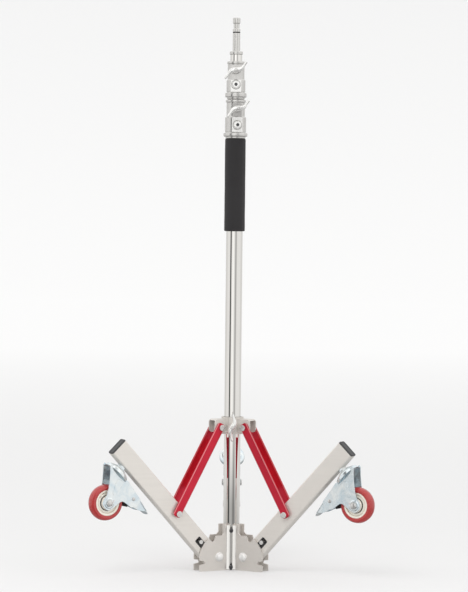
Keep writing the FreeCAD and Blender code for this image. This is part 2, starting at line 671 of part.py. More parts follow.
def spreader_arm():
    """An inverted channel that carries one strut pin."""
    low = SPREADER_PIN_Z - ARM_BELOW
    high = SPREADER_PIN_Z + ARM_ABOVE
    side = rounded_outline(0, ARM_REACH, low, high, ARM_CORNER, lambda a, b: V(a, -ARM_OUT / 2, b))
    shape = side.extrude(V(0, ARM_OUT, 0))
    inner = ARM_OUT / 2 - ARM_WALL
    shape = shape.cut(box(-1, ARM_REACH + 1, -inner, inner, low - 1, high - ARM_WALL))
    return shape.cut(cross_rod(STRUT_PIN_D, SPREADER_PIN_R, SPREADER_PIN_Z, -ARM_OUT, ARM_OUT))


def spreader_bore():
    return COLUMN_D + 2 * SLIDE_GAP + 2 * SPREADER_LINER_WALL


def spreader_screw_hole():
    return front_rod(SCREW_D + 2 * PIVOT_GAP, 0, SPREADER_BOSS_R + 1, SPREADER_SCREW_Z)


def spreader_collar():
    low = SPREADER_PIN_Z - SPREADER_BELOW
    high = SPREADER_PIN_Z + SPREADER_ABOVE
    shape = disc(spreader_bore() + 2 * SPREADER_RING_WALL, low, high)
    for azimuth in LEG_AZIMUTHS:
        shape = shape.fuse(at_azimuth(spreader_arm(), azimuth))
    shape = shape.fuse(front_rod(SPREADER_BOSS_D, 0, SPREADER_BOSS_R, SPREADER_SCREW_Z))
    shape = shape.removeSplitter().cut(disc(spreader_bore(), low - 1, high + 1))
    return shape.cut(spreader_screw_hole())


def spreader_liner():
    low = SPREADER_PIN_Z - SPREADER_BELOW
    high = SPREADER_PIN_Z + SPREADER_ABOVE
    shape = tube(spreader_bore(), COLUMN_D + 2 * SLIDE_GAP, low, high)
    return shape.cut(spreader_screw_hole())


def strut_pin():
    out = STRUT_OUT + SLIDE_GAP
    pin = cross_rod(STRUT_PIN_D, SPREADER_PIN_R, SPREADER_PIN_Z, -out, out)
    for y_low in (out, -out - STRUT_HEAD_H):
        pin = pin.fuse(cross_rod(STRUT_HEAD_D, SPREADER_PIN_R, SPREADER_PIN_Z, y_low, y_low + STRUT_HEAD_H))
    return pin.removeSplitter()


def strut():
    """A U-channel, open to the outside, with its web cut back at both ends."""
    length = STRUT_LENGTH
    low = -STRUT_WEB_SIDE
    high = STRUT_OPEN_SIDE
    channel = None
    for inset, radius in ((0, STRUT_BEND), (STRUT_WALL, STRUT_BEND - STRUT_WALL)):
        half = STRUT_OUT - inset
        top = high + STRUT_BEND + inset
        face = rounded_outline(-half, half, low + inset, top, radius, lambda a, b: V(-STRUT_END, a, b))
        layer = face.extrude(V(length + 2 * STRUT_END, 0, 0))
        channel = layer if channel is None else channel.cut(layer)
    ends = rounded_outline(-STRUT_END, length + STRUT_END, low, high, STRUT_END_ROUND,
                           lambda a, b: V(a, -STRUT_OUT - 1, b))
    shape = channel.common(ends.extrude(V(0, 2 * STRUT_OUT + 2, 0)))
    web_top = (-STRUT_END - 1, STRUT_WEB_TOP_CUT)
    web_foot = (length - STRUT_WEB_FOOT_CUT, length + STRUT_END + 1)
    for x_low, x_high in (web_top, web_foot):
        shape = shape.cut(box(x_low, x_high, -STRUT_IN, STRUT_IN, low - 1, 0))
    shape = shape.cut(cross_rod(STRUT_PIN_D + 2 * PIVOT_GAP, 0, 0, -STRUT_OUT - 1, STRUT_OUT + 1))
    return shape.cut(cross_rod(STRUT_PIN_D, length, 0, -STRUT_OUT - 1, STRUT_OUT + 1))


def strut_rivets():
    """Two stub rivets at the strut's foot, one on each side of the leg."""
    rivets = []
    for side in (-1, 1):
        ends = [
            (STRUT_STUB_D, LEG_W / 2 + STRUT_STUB_GAP, STRUT_IN),
            (STRUT_PIN_D, STRUT_IN, STRUT_OUT),
            (STRUT_HEAD_D, STRUT_OUT, STRUT_OUT + STRUT_HEAD_H),
        ]
        shape = None
        for diameter, near, far in ends:
            y_low, y_high = sorted((side * near, side * far))
            piece = cross_rod(diameter, STRUT_LENGTH, 0, y_low, y_high)
            shape = piece if shape is None else shape.fuse(piece)
        rivets.append(shape.removeSplitter())
    return rivets


# ---------------------------------------------------------------- casters

def caster_stem():
    """Threaded stem with its nut, upper race and kingpin head, fixed to the leg."""
    foot = CROWN_TOP + CROWN_WALL + SIDE_GAP
    shape = disc(STEM_D, -foot - KINGPIN_HEAD_H, STEM_INSIDE)
    shape = shape.fuse(hexagon(NUT_AF, -NUT_H, 0))
    shape = shape.fuse(disc(RACE_D, -NUT_H - RACE_H, -NUT_H))
    shape = shape.fuse(disc(KINGPIN_HEAD_D, -foot - KINGPIN_HEAD_H, -foot))
    shape = shape.fuse(hexagon(STEM_NUT_AF, LEG_WALL, LEG_WALL + NUT_H))
    return shape.removeSplitter()


def crown():
    """The fork's round crown: a pressed cup, open below."""
    top = -CROWN_TOP
    low = top - CROWN_H
    outer = CROWN_D / 2
    bore = STEM_D / 2 + PIVOT_GAP
    edge = [(outer - inward, top - down) for inward, down in CROWN_EDGE]
    inside = outer - CROWN_WALL
    return turned([(bore, top)] + edge + [
        (outer, low),
        (inside, low),
        (inside, edge[-1][1] - 0.2 * CROWN_WALL),
        (edge[0][0] - 0.4 * CROWN_WALL, top - CROWN_WALL),
        (bore, top - CROWN_WALL),
    ])


def fork_outline():
    """A side plate: crown, front edge to the axle boss, brake notch, lug and rear edge."""
    rim = CROWN_D / 2 - 1
    front = [(-rim, CROWN_TOP + CROWN_PLATE_TOP), (-rim, CROWN_TOP + CROWN_H)]
    to_boss = [(WHEEL_BACK + back, WHEEL_DOWN + down) for back, down in FORK_AT_WHEEL]
    lug = [(PEDAL_PIN_BACK + back, PEDAL_PIN_DOWN + down) for back, down in FORK_AT_PEDAL]
    return front + to_boss + lug + [(rim - 6, CROWN_TOP + 5)]


def caster_fork():
    shape = crown()
    for y_low in (FORK_IN / 2, -FORK_OUT):
        plate = caster_slab(fork_outline(), y_low, y_low + FORK_WALL)
        plate = plate.fuse(caster_rod(2 * BOSS_R, WHEEL_BACK, WHEEL_DOWN, y_low, y_low + FORK_WALL))
        above = box(-WHEEL_D, WHEEL_D, -CROWN_D, CROWN_D, -CROWN_TOP - CROWN_PLATE_TOP, 0)
        shape = shape.fuse(plate.cut(above))
    shape = shape.removeSplitter()
    shape = shape.cut(caster_rod(AXLE_D, WHEEL_BACK, WHEEL_DOWN, -FORK_OUT - 1, FORK_OUT + 1))
    return shape.cut(caster_rod(PEDAL_PIN_D, PEDAL_PIN_BACK, PEDAL_PIN_DOWN, -FORK_OUT - 1, FORK_OUT + 1))


def caster_pins():
    """The wheel's axle with its nut, and the pedal's pin."""
    out = FORK_OUT
    axle = caster_rod(AXLE_D, WHEEL_BACK, WHEEL_DOWN, -out - AXLE_HEAD_H, out + AXLE_HEAD_H)
    pin = caster_rod(PEDAL_PIN_D, PEDAL_PIN_BACK, PEDAL_PIN_DOWN, -out, out)
    for side in (-1, 1):
        y_low, y_high = sorted((side * out, side * (out + AXLE_HEAD_H)))
        axle = axle.fuse(cross_hexagon(AXLE_HEAD_AF, -WHEEL_BACK, -WHEEL_DOWN, y_low, y_high))
        y_low, y_high = sorted((side * out, side * (out + PEDAL_PIN_HEAD_H)))
        pin = pin.fuse(caster_rod(PEDAL_PIN_HEAD_D, PEDAL_PIN_BACK, PEDAL_PIN_DOWN, y_low, y_high))
    return [axle.removeSplitter(), pin.removeSplitter()]


def on_axle(shape):
    """From a turned solid about Z to the wheel's place, about Y."""
    copy = shape.copy()
    copy.rotate(V(0, 0, 0), V(1, 0, 0), -90)
    copy.translate(V(-WHEEL_BACK, 0, -WHEEL_DOWN))
    return copy


def tyre():
    outer = WHEEL_D / 2
    half = WHEEL_W / 2
    core = CORE_D / 2
    shoulder = outer - TYRE_SHOULDER
    crown_arc = Part.Arc(V(shoulder, 0, -half), V(outer, 0, 0), V(shoulder, 0, half))
    corners = [V(shoulder, 0, half), V(core, 0, half - TYRE_EDGE), V(core, 0, TYRE_EDGE - half),
               V(shoulder, 0, -half)]
    edges = [crown_arc.toShape()]
    for start, end in zip(corners, corners[1:]):
        edges.append(Part.LineSegment(start, end).toShape())
    solid = Part.Face(Part.Wire(edges)).revolve(V(0, 0, 0), V(0, 0, 1), 360)
    return on_axle(solid)


def wheel_core():
    rim = tube(CORE_D, CORE_D - 2 * CORE_RIM, -CORE_W / 2, CORE_W / 2)
    web = disc(CORE_D - CORE_RIM, -CORE_WEB_W / 2, CORE_WEB_W / 2)
    hub = disc(HUB_D, -HUB_W / 2, HUB_W / 2)
    shape = rim.fuse(web).fuse(hub).removeSplitter()
    return on_axle(shape.cut(disc(AXLE_D + 2 * PIVOT_GAP, -HUB_W, HUB_W)))


def about_axle(angle, radius):
    return (WHEEL_BACK + radius * cos(radians(angle)), WHEEL_DOWN + radius * sin(radians(angle)))


def brake_pedal():
    """A pressed channel that turns on its pin, with the shoe that meets the tread."""
    half = PEDAL_W / 2
    back = PEDAL_PIN_BACK
    down = PEDAL_PIN_DOWN
    top_start = (back + PEDAL_START[0], down + PEDAL_START[1])
    top_end = (PEDAL_TIP_BACK, PEDAL_TIP_DOWN - PEDAL_TIP_T / 2)
    under_end = (PEDAL_TIP_BACK, PEDAL_TIP_DOWN + PEDAL_TIP_T / 2)
    cheek = [top_start, top_end, under_end] + [(back + a, down + b) for a, b in PEDAL_CHEEK]
    top = [top_start, top_end, under_end, (top_start[0], top_start[1] + PEDAL_WALL)]
    shape = caster_slab(top, -half, half)
    for y_low in (half - PEDAL_WALL, -half):
        shape = shape.fuse(caster_slab(cheek, y_low, y_low + PEDAL_WALL))
    shape = shape.cut(caster_rod(PEDAL_PIN_D + 2 * PIVOT_GAP, back, down, -half - 1, half + 1))
    near = WHEEL_D / 2 + SHOE_GAP
    far = near + SHOE_H
    start, end = SHOE_ANGLES
    middle = (start + end) / 2
    shoe = [about_axle(start, near), about_axle(middle, near + SHOE_HOLLOW), about_axle(end, near),
            about_axle(end, far), about_axle(middle, far), about_axle(start, far)]
    shoe_half = half - PEDAL_WALL
    shape = shape.fuse(caster_slab(shoe, -shoe_half, shoe_half))
    return shape.removeSplitter()


# ---------------------------------------------------------------- the files

os.makedirs("parts", exist_ok=True)

write("base_plug", base_plug())
write("column_tube", column_tube())
write("middle_tube", riser_tube(MIDDLE_D, MIDDLE_BOTTOM, MIDDLE_TOP))
write("inner_tube", riser_tube(INNER_D, INNER_BOTTOM + BUSH_H, INNER_TOP))
write("middle_bush", guide_bush(COLUMN_D, MIDDLE_D, MIDDLE_BOTTOM))
write("inner_bush", guide_bush(MIDDLE_D, INNER_D, INNER_BOTTOM + BUSH_H))
write("spigot", spigot())
write("spigot_ring", spigot_ring())
write("foam_grip", foam_grip())

lower = (LOWER_COLLAR_STEPS, LOWER_COLLAR_Z, COLUMN_D)
upper = (UPPER_COLLAR_STEPS, UPPER_COLLAR_Z, MIDDLE_D)
write("lower_collar", at_azimuth(collar(*lower, MIDDLE_D, LOWER_BOLT_UP, LOWER_SCREW_UP), LOWER_COLLAR_TURN))
write("upper_collar", collar(*upper, INNER_D, UPPER_BOLT_UP, UPPER_SCREW_UP))
write("lower_collar_bolt", at_azimuth(collar_bolt(*lower, LOWER_BOLT_UP), LOWER_COLLAR_TURN))
write("upper_collar_bolt", collar_bolt(*upper, UPPER_BOLT_UP))
write("lower_collar_liner", liner(MIDDLE_D, COLUMN_TOP, LOWER_COLLAR_TOP))
write("upper_collar_liner", liner(INNER_D, MIDDLE_TOP, UPPER_COLLAR_TOP))

write("base_screws", *[at_azimuth(base_screw(height), azimuth) for azimuth, height in base_screw_places()])
write("leg_pivot_bolts", *[at_azimuth(pivot_bolt(), azimuth) for azimuth in LEG_AZIMUTHS])
write("spreader_collar", spreader_collar())
write("spreader_liner", spreader_liner())
write("spreader_pins", *[at_azimuth(strut_pin(), azimuth) for azimuth in LEG_AZIMUTHS])

lower_boss = LOWER_COLLAR_STEPS[2][0] / 2 + COLLAR_BOSS_PROUD
upper_boss = UPPER_COLLAR_STEPS[2][0] / 2 + COLLAR_BOSS_PROUD
lower_handle = t_handle(liner_d(MIDDLE_D) / 2 + SLIDE_GAP, lower_boss, LOWER_COLLAR_Z + LOWER_SCREW_UP,
                        LOWER_HANDLE_TURN)
upper_handle = t_handle(liner_d(INNER_D) / 2 + SLIDE_GAP, upper_boss, UPPER_COLLAR_Z + UPPER_SCREW_UP,
                        UPPER_HANDLE_TURN)
spreader_handle = t_handle(COLUMN_D / 2 + SLIDE_GAP, SPREADER_BOSS_R, SPREADER_SCREW_Z, SPREADER_HANDLE_TURN)
write("lower_clamp_handle", at_azimuth(lower_handle, LOWER_COLLAR_TURN))
write("upper_clamp_handle", upper_handle)
write("spreader_handle", spreader_handle)

for number, azimuth in enumerate(LEG_AZIMUTHS, start=1):
    tag = "_%d" % number
    write("base_bracket" + tag, at_azimuth(base_bracket(), azimuth))
    write("leg_tube" + tag, on_leg(leg_tube(), azimuth))
    write("leg_end_cap" + tag, on_leg(leg_end_cap(), azimuth))
    write("lock_pin" + tag, on_leg(lock_pin(), azimuth))
    write("strut" + tag, on_strut(strut(), azimuth))
    write("strut_rivets" + tag, *[on_strut(rivet, azimuth) for rivet in strut_rivets()])
    write("caster_stem" + tag, on_caster(caster_stem(), azimuth))
    write("caster_fork" + tag, on_caster(caster_fork(), azimuth))
    write("caster_pins" + tag, *[on_caster(pin, azimuth) for pin in caster_pins()])
    write("tyre" + tag, on_caster(tyre(), azimuth))
    write("wheel_core" + tag, on_caster(wheel_core(), azimuth))
    write("brake_pedal" + tag, on_caster(brake_pedal(), azimuth))
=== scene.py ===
import bmesh
import bpy
import json
from math import atan2, cos, hypot, pi, radians, sin, tan
from mathutils import Matrix, Vector, noise


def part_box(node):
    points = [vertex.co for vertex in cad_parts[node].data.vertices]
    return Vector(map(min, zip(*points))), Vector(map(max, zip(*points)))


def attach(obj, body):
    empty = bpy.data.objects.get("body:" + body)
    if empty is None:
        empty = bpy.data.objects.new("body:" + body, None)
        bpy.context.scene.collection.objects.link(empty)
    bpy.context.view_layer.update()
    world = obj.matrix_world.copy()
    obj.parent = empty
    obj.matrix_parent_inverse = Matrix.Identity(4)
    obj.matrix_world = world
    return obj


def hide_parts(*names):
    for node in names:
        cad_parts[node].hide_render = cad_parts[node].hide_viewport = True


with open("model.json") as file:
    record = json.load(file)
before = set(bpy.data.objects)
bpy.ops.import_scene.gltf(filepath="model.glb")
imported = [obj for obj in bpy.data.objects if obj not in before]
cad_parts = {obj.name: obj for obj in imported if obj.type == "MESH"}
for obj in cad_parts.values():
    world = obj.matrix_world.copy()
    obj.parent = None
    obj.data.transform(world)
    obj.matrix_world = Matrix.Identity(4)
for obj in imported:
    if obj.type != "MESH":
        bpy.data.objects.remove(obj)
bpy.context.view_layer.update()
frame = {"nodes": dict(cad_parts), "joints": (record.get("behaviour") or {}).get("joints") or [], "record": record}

MM = 0.001
LEGS = (1, 2, 3)
SIDES = (-1, 1)
STRUT_FOOT = Vector((137.0, 0.0, -7.6))         # a strut's lower pin in its leg's frame, in millimetres
JOINTS = {joint["name"]: joint for joint in frame["joints"]}
ALONG_LEG = {n: JOINTS["lock_pin_%d_slide" % n]["axis"] for n in LEGS}
BODY_OF = {node: body for body, nodes in frame["record"]["behaviour"]["bodies"].items() for node in nodes}
SLOT_OF = {part["node"]: part["material_slot"] for part in frame["record"]["subparts"]}


def placed(origin, x_axis, y_axis):
    """The matrix of a frame with that origin in metres and those axes; Z is square to both."""
    x = Vector(x_axis).normalized()
    z = x.cross(Vector(y_axis)).normalized()
    turned = Matrix((x, z.cross(x), z)).transposed().to_4x4()
    return Matrix.Translation(Vector(origin)) @ turned


def joint_frame(joint, x_axis):
    """A frame at a hinge: the given X, and Y against the hinge's axis."""
    return placed(JOINTS[joint]["pos_m"], x_axis, -Vector(JOINTS[joint]["axis"]))


def leg_frame(n):
    """X along a leg from its pivot, Y across it, Z to its top side."""
    return joint_frame("leg_%d_fold" % n, ALONG_LEG[n])


def on_leg(n, joint):
    """A frame at a caster's joint, square to its leg."""
    square = leg_frame(n).to_3x3().to_4x4()
    return Matrix.Translation(Vector(JOINTS[joint % n]["pos_m"])) @ square


def strut_frame(n):
    """X from a strut's upper pin to its lower one, Y across it, Z to its open side."""
    upper = Vector(JOINTS["strut_%d_swing" % n]["pos_m"])
    lower = leg_frame(n) @ (STRUT_FOOT * MM)
    return joint_frame("strut_%d_swing" % n, lower - upper)


# ---------------------------------------------------------------- shader maths and finishes

def plugged(tree, slot, value):
    """Links a shader value to a socket, or sets a constant on it."""
    if isinstance(value, Wave):
        tree.links.new(value.socket, slot)
    else:
        slot.default_value = value


class Wave:
    """One shader value; Python's operators on it add Math nodes."""

    def __init__(self, tree, socket):
        self.tree = tree
        self.socket = socket

    def math(self, operation, *others):
        node = self.tree.nodes.new("ShaderNodeMath")
        node.operation = operation
        for slot, value in zip(node.inputs, (self,) + others):
            plugged(self.tree, slot, value)
        return Wave(self.tree, node.outputs[0])

    def __add__(self, other):
        return self.math("ADD", other)

    __radd__ = __add__

    def __mul__(self, other):
        return self.math("MULTIPLY", other)

    __rmul__ = __mul__

    def __sub__(self, other):
        return self.math("SUBTRACT", other)

    def __rsub__(self, other):
        return (self * -1) + other

    def __truediv__(self, other):
        return self.math("DIVIDE", other)

    def clamp(self, low=0.0, high=1.0):
        return self.math("MAXIMUM", low).math("MINIMUM", high)

    def step(self, edge, soft):
        """0 below the edge, 1 above it, over a soft band."""
        return ((self - edge) / soft + 0.5).clamp()


class Nodes:
    """The nodes of a material or of the world."""

    def __init__(self, owner):
        owner.use_nodes = True
        self.tree = owner.node_tree
        self.tree.nodes.clear()

    def node(self, kind, settings=None, output=0, **inputs):
        """Any node: its settings first, then the values or links of its inputs."""
        node = self.tree.nodes.new("ShaderNode" + kind)
        for key, value in (settings or {}).items():
            if key == "stops":
                ramp = node.color_ramp
                while len(ramp.elements) < len(value):
                    ramp.elements.new(1.0)
                for element, (place, colour) in zip(ramp.elements, value):
                    element.position = place
                    element.color = (*colour, 1.0)
            else:
                setattr(node, key, value)
        for key, value in inputs.items():
            numbered = key[0] == "i" and key[1:].isdigit()
            plugged(self.tree, node.inputs[int(key[1:]) if numbered else key], value)
        return Wave(self.tree, node.outputs[output]) if node.outputs else None

    def place(self, stretch=(1, 1, 1)):
        """Object coordinates, stretched, as a vector."""
        where = self.node("TexCoord", output=3)
        return self.node("Mapping", {"vector_type": "POINT"}, i0=where, i3=stretch)

    def noise(self, scale, detail=2.0, stretch=(1, 1, 1), distortion=0.0):
        return self.node("TexNoise", Vector=self.place(stretch), Scale=scale, Detail=detail,
                         Distortion=distortion)

    def cells(self, scale):
        return self.node("TexVoronoi", Vector=self.place(), Scale=scale)

    def mix(self, factor, first, second):
        """Two colours mixed; each is a triple or a colour value."""
        def colour(value):
            return value if isinstance(value, Wave) else (*value, 1.0)
        return self.node("Mix", {"data_type": "RGBA"}, output=2,
                         i0=factor, i6=colour(first), i7=colour(second))


class Finish(Nodes):
    """A material: one Principled shader and the nodes that feed it."""

    def __init__(self, name, colour, roughness, metallic=0.0, **constants):
        self.material = bpy.data.materials.new(name)
        super().__init__(self.material)
        principled = self.node("BsdfPrincipled")
        self.shader = principled.socket.node
        self.node("OutputMaterial", Surface=principled)
        self.feed("Base Color", (*colour, 1.0))
        self.feed("Roughness", roughness)
        self.feed("Metallic", metallic)
        for socket, value in constants.items():
            self.feed(socket.replace("_", " "), value)
        self.material.diffuse_color = (*colour, 1.0)
        self.material.roughness = roughness
        self.material.metallic = metallic

    def feed(self, socket, value):
        plugged(self.tree, self.shader.inputs[socket], value)

    def bump(self, relief, distance, strength=1.0):
        self.feed("Normal", self.node("Bump", Height=relief, Distance=distance, Strength=strength))


def polished_tube():
    """Stainless tube, polished round and faintly drawn along its length."""
    finish = Finish("polished_stainless_tube", (0.80, 0.785, 0.76), 0.14, 1.0)
    drawn = finish.noise(900.0, 3.0, stretch=(1, 1, 0.012))
    smudge = finish.noise(14.0, 4.0, stretch=(1, 1, 0.5))
    scuff = finish.noise(160.0, 5.0, stretch=(0.15, 0.15, 3.0)).step(0.66, 0.1)
    finish.feed("Roughness", (0.025 + drawn * 0.04 + smudge.step(0.55, 0.3) * 0.03 + scuff * 0.04).clamp())
    finish.feed("Base Color", finish.mix(smudge, (0.83, 0.815, 0.79), (0.75, 0.735, 0.71)))
    finish.bump(drawn, 0.00004, 0.35)
    return finish


def brushed_steel(name, colour, along, roughness):
    """Satin stainless, brushed along one direction, its fine scratches scattering much of the light."""
    finish = Finish(name, colour, roughness, 0.42)
    azimuth = atan2(along[1], along[0])
    rise = atan2(along[2], hypot(along[0], along[1]))
    where = finish.node("TexCoord", output=3)
    level = finish.node("Mapping", {"vector_type": "POINT"}, i0=where, i2=(0.0, 0.0, -azimuth))
    lined = finish.node("Mapping", {"vector_type": "POINT"}, i0=level, i2=(0.0, rise, 0.0), i3=(0.02, 1, 1))
    grain = finish.node("TexNoise", Vector=lined, Scale=1500.0, Detail=3.0)
    bands = finish.node("TexNoise", Vector=lined, Scale=180.0, Detail=4.0)
    cloud = finish.noise(22.0, 3.0)
    finish.feed("Roughness", (roughness - 0.09 + grain * 0.1 + bands * 0.08 + cloud * 0.05).clamp())
    dark = tuple(c * 0.93 for c in colour)
    finish.feed("Base Color", finish.mix((bands * 0.55 + cloud * 0.45).step(0.5, 0.5), colour, dark))
    finish.bump(grain * 0.6 + bands * 0.4, 0.00005, 0.5)
    return finish


def cast_alloy(name, light, dark, metallic, roughness):
    """Polished alloy casting with a slightly uneven skin and fine pits."""
    finish = Finish(name, light, roughness, metallic)
    skin = finish.noise(230.0, 3.0)
    orange = finish.noise(60.0, 2.0)
    pits = finish.cells(900.0).step(0.12, 0.08)
    finish.feed("Roughness", (roughness - 0.06 + skin * 0.1 + (1 - pits) * 0.1).clamp())
    finish.feed("Base Color", finish.mix(orange, light, dark))
    finish.bump(skin * 0.4 + orange * 0.6, 0.0002, 0.5)
    return finish


def chromed():
    """Plated rod: a mirror with a thin haze."""
    finish = Finish("chromed_rod", (0.92, 0.915, 0.9), 0.06, 0.7)
    haze = finish.noise(120.0, 4.0)
    finish.feed("Roughness", (0.03 + haze.step(0.5, 0.4) * 0.07).clamp())
    finish.feed("Base Color", finish.mix(haze, (0.94, 0.935, 0.92), (0.87, 0.865, 0.85)))
    return finish


def fastener_steel(name="stainless_fastener", colour=(0.74, 0.73, 0.715), roughness=0.24):
    """Turned steel, finely marked by the tool and dulled in patches by spanners."""
    finish = Finish(name, colour, roughness, 0.75)
    turned_marks = finish.noise(1400.0)
    tone_mask = finish.noise(90.0, 4.0)
    finish.feed("Roughness", (roughness - 0.06 + turned_marks * 0.08 + tone_mask.step(0.55, 0.2) * 0.12).clamp())
    finish.feed("Base Color", finish.mix(tone_mask, colour, tuple(c * 0.86 for c in colour)))
    finish.bump(turned_marks, 0.00003, 0.4)
    return finish


def zinc_plate():
    """Bright zinc with its blue passivation, uneven where the metal was drawn."""
    finish = Finish("blue_white_zinc_plate", (0.72, 0.78, 0.8), 0.2, 0.85)
    flow = finish.noise(34.0, 4.0, distortion=1.2)
    spangle = finish.cells(420.0)
    rub = finish.noise(520.0, 2.0, stretch=(1, 1, 0.2))
    tint = finish.mix(flow.step(0.5, 0.35), (0.83, 0.87, 0.875), (0.62, 0.73, 0.80))
    finish.feed("Base Color", finish.mix(spangle * 0.35, tint, (0.88, 0.89, 0.87)))
    finish.feed("Roughness", (0.07 + rub * 0.07 + flow * 0.08).clamp())
    finish.bump(flow * 0.5 + rub * 0.2 + spangle * 0.1, 0.00025, 0.4)
    return finish


def red_anodised(n):
    """Red anodised channel: dyed, satin, drawn along its length, with a pale painted highlight in a line beside
    each edge.
    """
    finish = Finish("red_anodised_channel_%d" % n, (0.66, 0.03, 0.06), 0.33, 0.75)
    drawn = finish.noise(700.0, 3.0, stretch=(1, 1, 0.03))
    cloud = finish.noise(26.0, 3.0)
    local = strut_frame(n)
    opening = local.col[2].xyz
    where = finish.node("TexCoord", output=3)
    out = finish.node("VectorMath", {"operation": "DOT_PRODUCT"}, output=1, i0=where, i1=tuple(opening))
    out = (out - local.translation.dot(opening)) * (1 / MM)
    # painted highlight: a pale line beside each edge of the channel, where its rounded edges catch the light
    tone_mask = 0.0
    for edge in (-5.2, 11.8):
        tone_mask = tone_mask + (1 - (out - edge).math("ABSOLUTE").step(0.95, 0.5))
    deep = finish.mix(cloud.step(0.5, 0.5), (0.68, 0.034, 0.064), (0.58, 0.024, 0.05))
    # the pale pink mixed in along these lines is the painted highlight's colour
    finish.feed("Base Color", finish.mix((tone_mask * (0.5 + cloud * 0.5)).clamp(), deep, (0.98, 0.40, 0.42)))
    finish.feed("Roughness", (0.26 + drawn * 0.12 + cloud * 0.06).clamp())
    finish.bump(drawn, 0.00004, 0.4)
    return finish


def red_tread():
    """Cast polyurethane: glossy, slightly cloudy, with fine dust."""
    finish = Finish("red_polyurethane_tread", (0.50, 0.045, 0.04), 0.22, 0.0,
                    Coat_Weight=0.6, Coat_Roughness=0.06,
                    Subsurface_Weight=0.08, Subsurface_Radius=(0.004, 0.001, 0.001), Subsurface_Scale=1.0)
    cloud = finish.noise(40.0, 3.0)
    dust = finish.noise(1500.0, 3.0).step(0.68, 0.08)
    red = finish.mix(cloud, (0.46, 0.035, 0.033), (0.36, 0.02, 0.022))
    finish.feed("Base Color", finish.mix(dust * 0.16, red, (0.75, 0.5, 0.45)))
    finish.feed("Roughness", (0.22 + cloud * 0.1 + dust * 0.3).clamp())
    finish.bump(cloud * 0.4 + dust * 0.1, 0.00015, 0.5)
    return finish


def moulded(name, colour, roughness, grain_scale, grain_depth):
    """Moulded plastic or rubber with a fine spark-eroded grain."""
    finish = Finish(name, colour, roughness, 0.0, Specular_IOR_Level=0.42)
    grain = finish.noise(grain_scale, 2.0)
    cloud = finish.noise(35.0, 3.0)
    finish.feed("Base Color", finish.mix(cloud, colour, tuple(min(1.0, c * 1.16) for c in colour)))
    finish.feed("Roughness", (roughness - 0.06 + grain * 0.12).clamp())
    finish.bump(grain, grain_depth, 0.6)
    return finish


def foam_rubber():
    """Closed-cell foam: dark, dry, pitted with cells, paler where hands have rubbed it."""
    finish = Finish("black_closed_cell_foam", (0.020, 0.0195, 0.020), 0.92, 0.0, Sheen_Weight=0.1,
                    Sheen_Roughness=0.5, Specular_IOR_Level=0.25)
    pores = finish.cells(1900.0)
    coarse = finish.cells(700.0)
    soft = finish.noise(30.0, 4.0)
    rubbed = finish.noise(9.0, 2.0, stretch=(1, 1, 0.5)).step(0.55, 0.35)
    black = finish.mix(pores.step(0.35, 0.5), (0.011, 0.0107, 0.011), (0.030, 0.0285, 0.030))
    finish.feed("Base Color", finish.mix(rubbed * 0.5, black, (0.040, 0.0378, 0.039)))
    finish.feed("Roughness", (0.86 + soft * 0.1).clamp())
    finish.bump(pores * 0.6 + coarse * 0.4 + soft * 0.5, 0.0005, 0.8)
    return finish


FINISHES = {
    "polished_steel": polished_tube(),
    "satin_steel": brushed_steel("satin_stainless_plate", (0.70, 0.665, 0.625), (0.0, 0.0, 1.0), 0.36),
    "spigot_steel": fastener_steel("turned_spigot_steel", (0.72, 0.71, 0.69), 0.2),
    "cast_alloy": cast_alloy("polished_cast_alloy", (0.68, 0.67, 0.655), (0.57, 0.56, 0.545), 0.75, 0.2),
    "chrome": chromed(),
    "bolt_steel": fastener_steel(),
    "black_oxide": fastener_steel("black_oxide_screw", (0.11, 0.11, 0.115), 0.3),
    "zinc": zinc_plate(),
    "red_polyurethane": red_tread(),
    "hub_plastic": moulded("cream_nylon_core", (0.82, 0.775, 0.69), 0.36, 1200.0, 0.00008),
    "black_plastic": moulded("black_nylon", (0.022, 0.022, 0.023), 0.45, 1500.0, 0.0001),
    "cap_plastic": moulded("dark_grey_end_cap", (0.052, 0.052, 0.055), 0.5, 1300.0, 0.00015),
    "liner_plastic": moulded("acetal_liner", (0.06, 0.06, 0.062), 0.35, 1500.0, 0.00006),
    "black_rubber": moulded("black_rubber_ring", (0.012, 0.012, 0.012), 0.55, 1600.0, 0.0001),
    "foam": foam_rubber(),
}
LEG_FINISH = {n: brushed_steel("brushed_leg_tube_%d" % n, (0.80, 0.765, 0.72), ALONG_LEG[n], 0.36)
              for n in LEGS}
STRUT_FINISH = {n: red_anodised(n) for n in LEGS}
MACHINED = cast_alloy("machined_alloy_face", (0.93, 0.925, 0.91), (0.86, 0.855, 0.84), 0.35, 0.26)


# ---------------------------------------------------------------- mesh helpers

def finish_of(node):
    """The finish of a CAD node; each leg and strut has its own, brushed along it."""
    slot = SLOT_OF[node]
    if slot == "leg_steel":
        return LEG_FINISH[int(node[-1])]
    if slot == "red_anodised":
        return STRUT_FINISH[int(node[-1])]
    return FINISHES[slot]


def add_piece(name, mesh, body, slot, finish=None, angle=32.0):
    """Puts a mesh, already in the row frame, on its body with its finish."""
    piece = bpy.data.objects.new(name, mesh)
    bpy.context.scene.collection.objects.link(piece)
    mesh.materials.clear()
    mesh.materials.append((finish or FINISHES[slot]).material)
    mesh.shade_smooth()
    mesh.set_sharp_from_angle(angle=radians(angle))
    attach(piece, body)
    return piece


def modified(piece, kind, **settings):
    modifier = piece.modifiers.new(kind.lower(), kind)
    for key, value in settings.items():
        setattr(modifier, key, value)


def bevelled(piece, width, segments, sharp, **settings):
    """Rounds a piece's edges that are sharper than an angle in degrees."""
    modified(piece, "BEVEL", width=width, segments=segments, limit_method="ANGLE", angle_limit=radians(sharp),
             use_clamp_overlap=True, **settings)
    modified(piece, "WEIGHTED_NORMAL", keep_sharp=True)


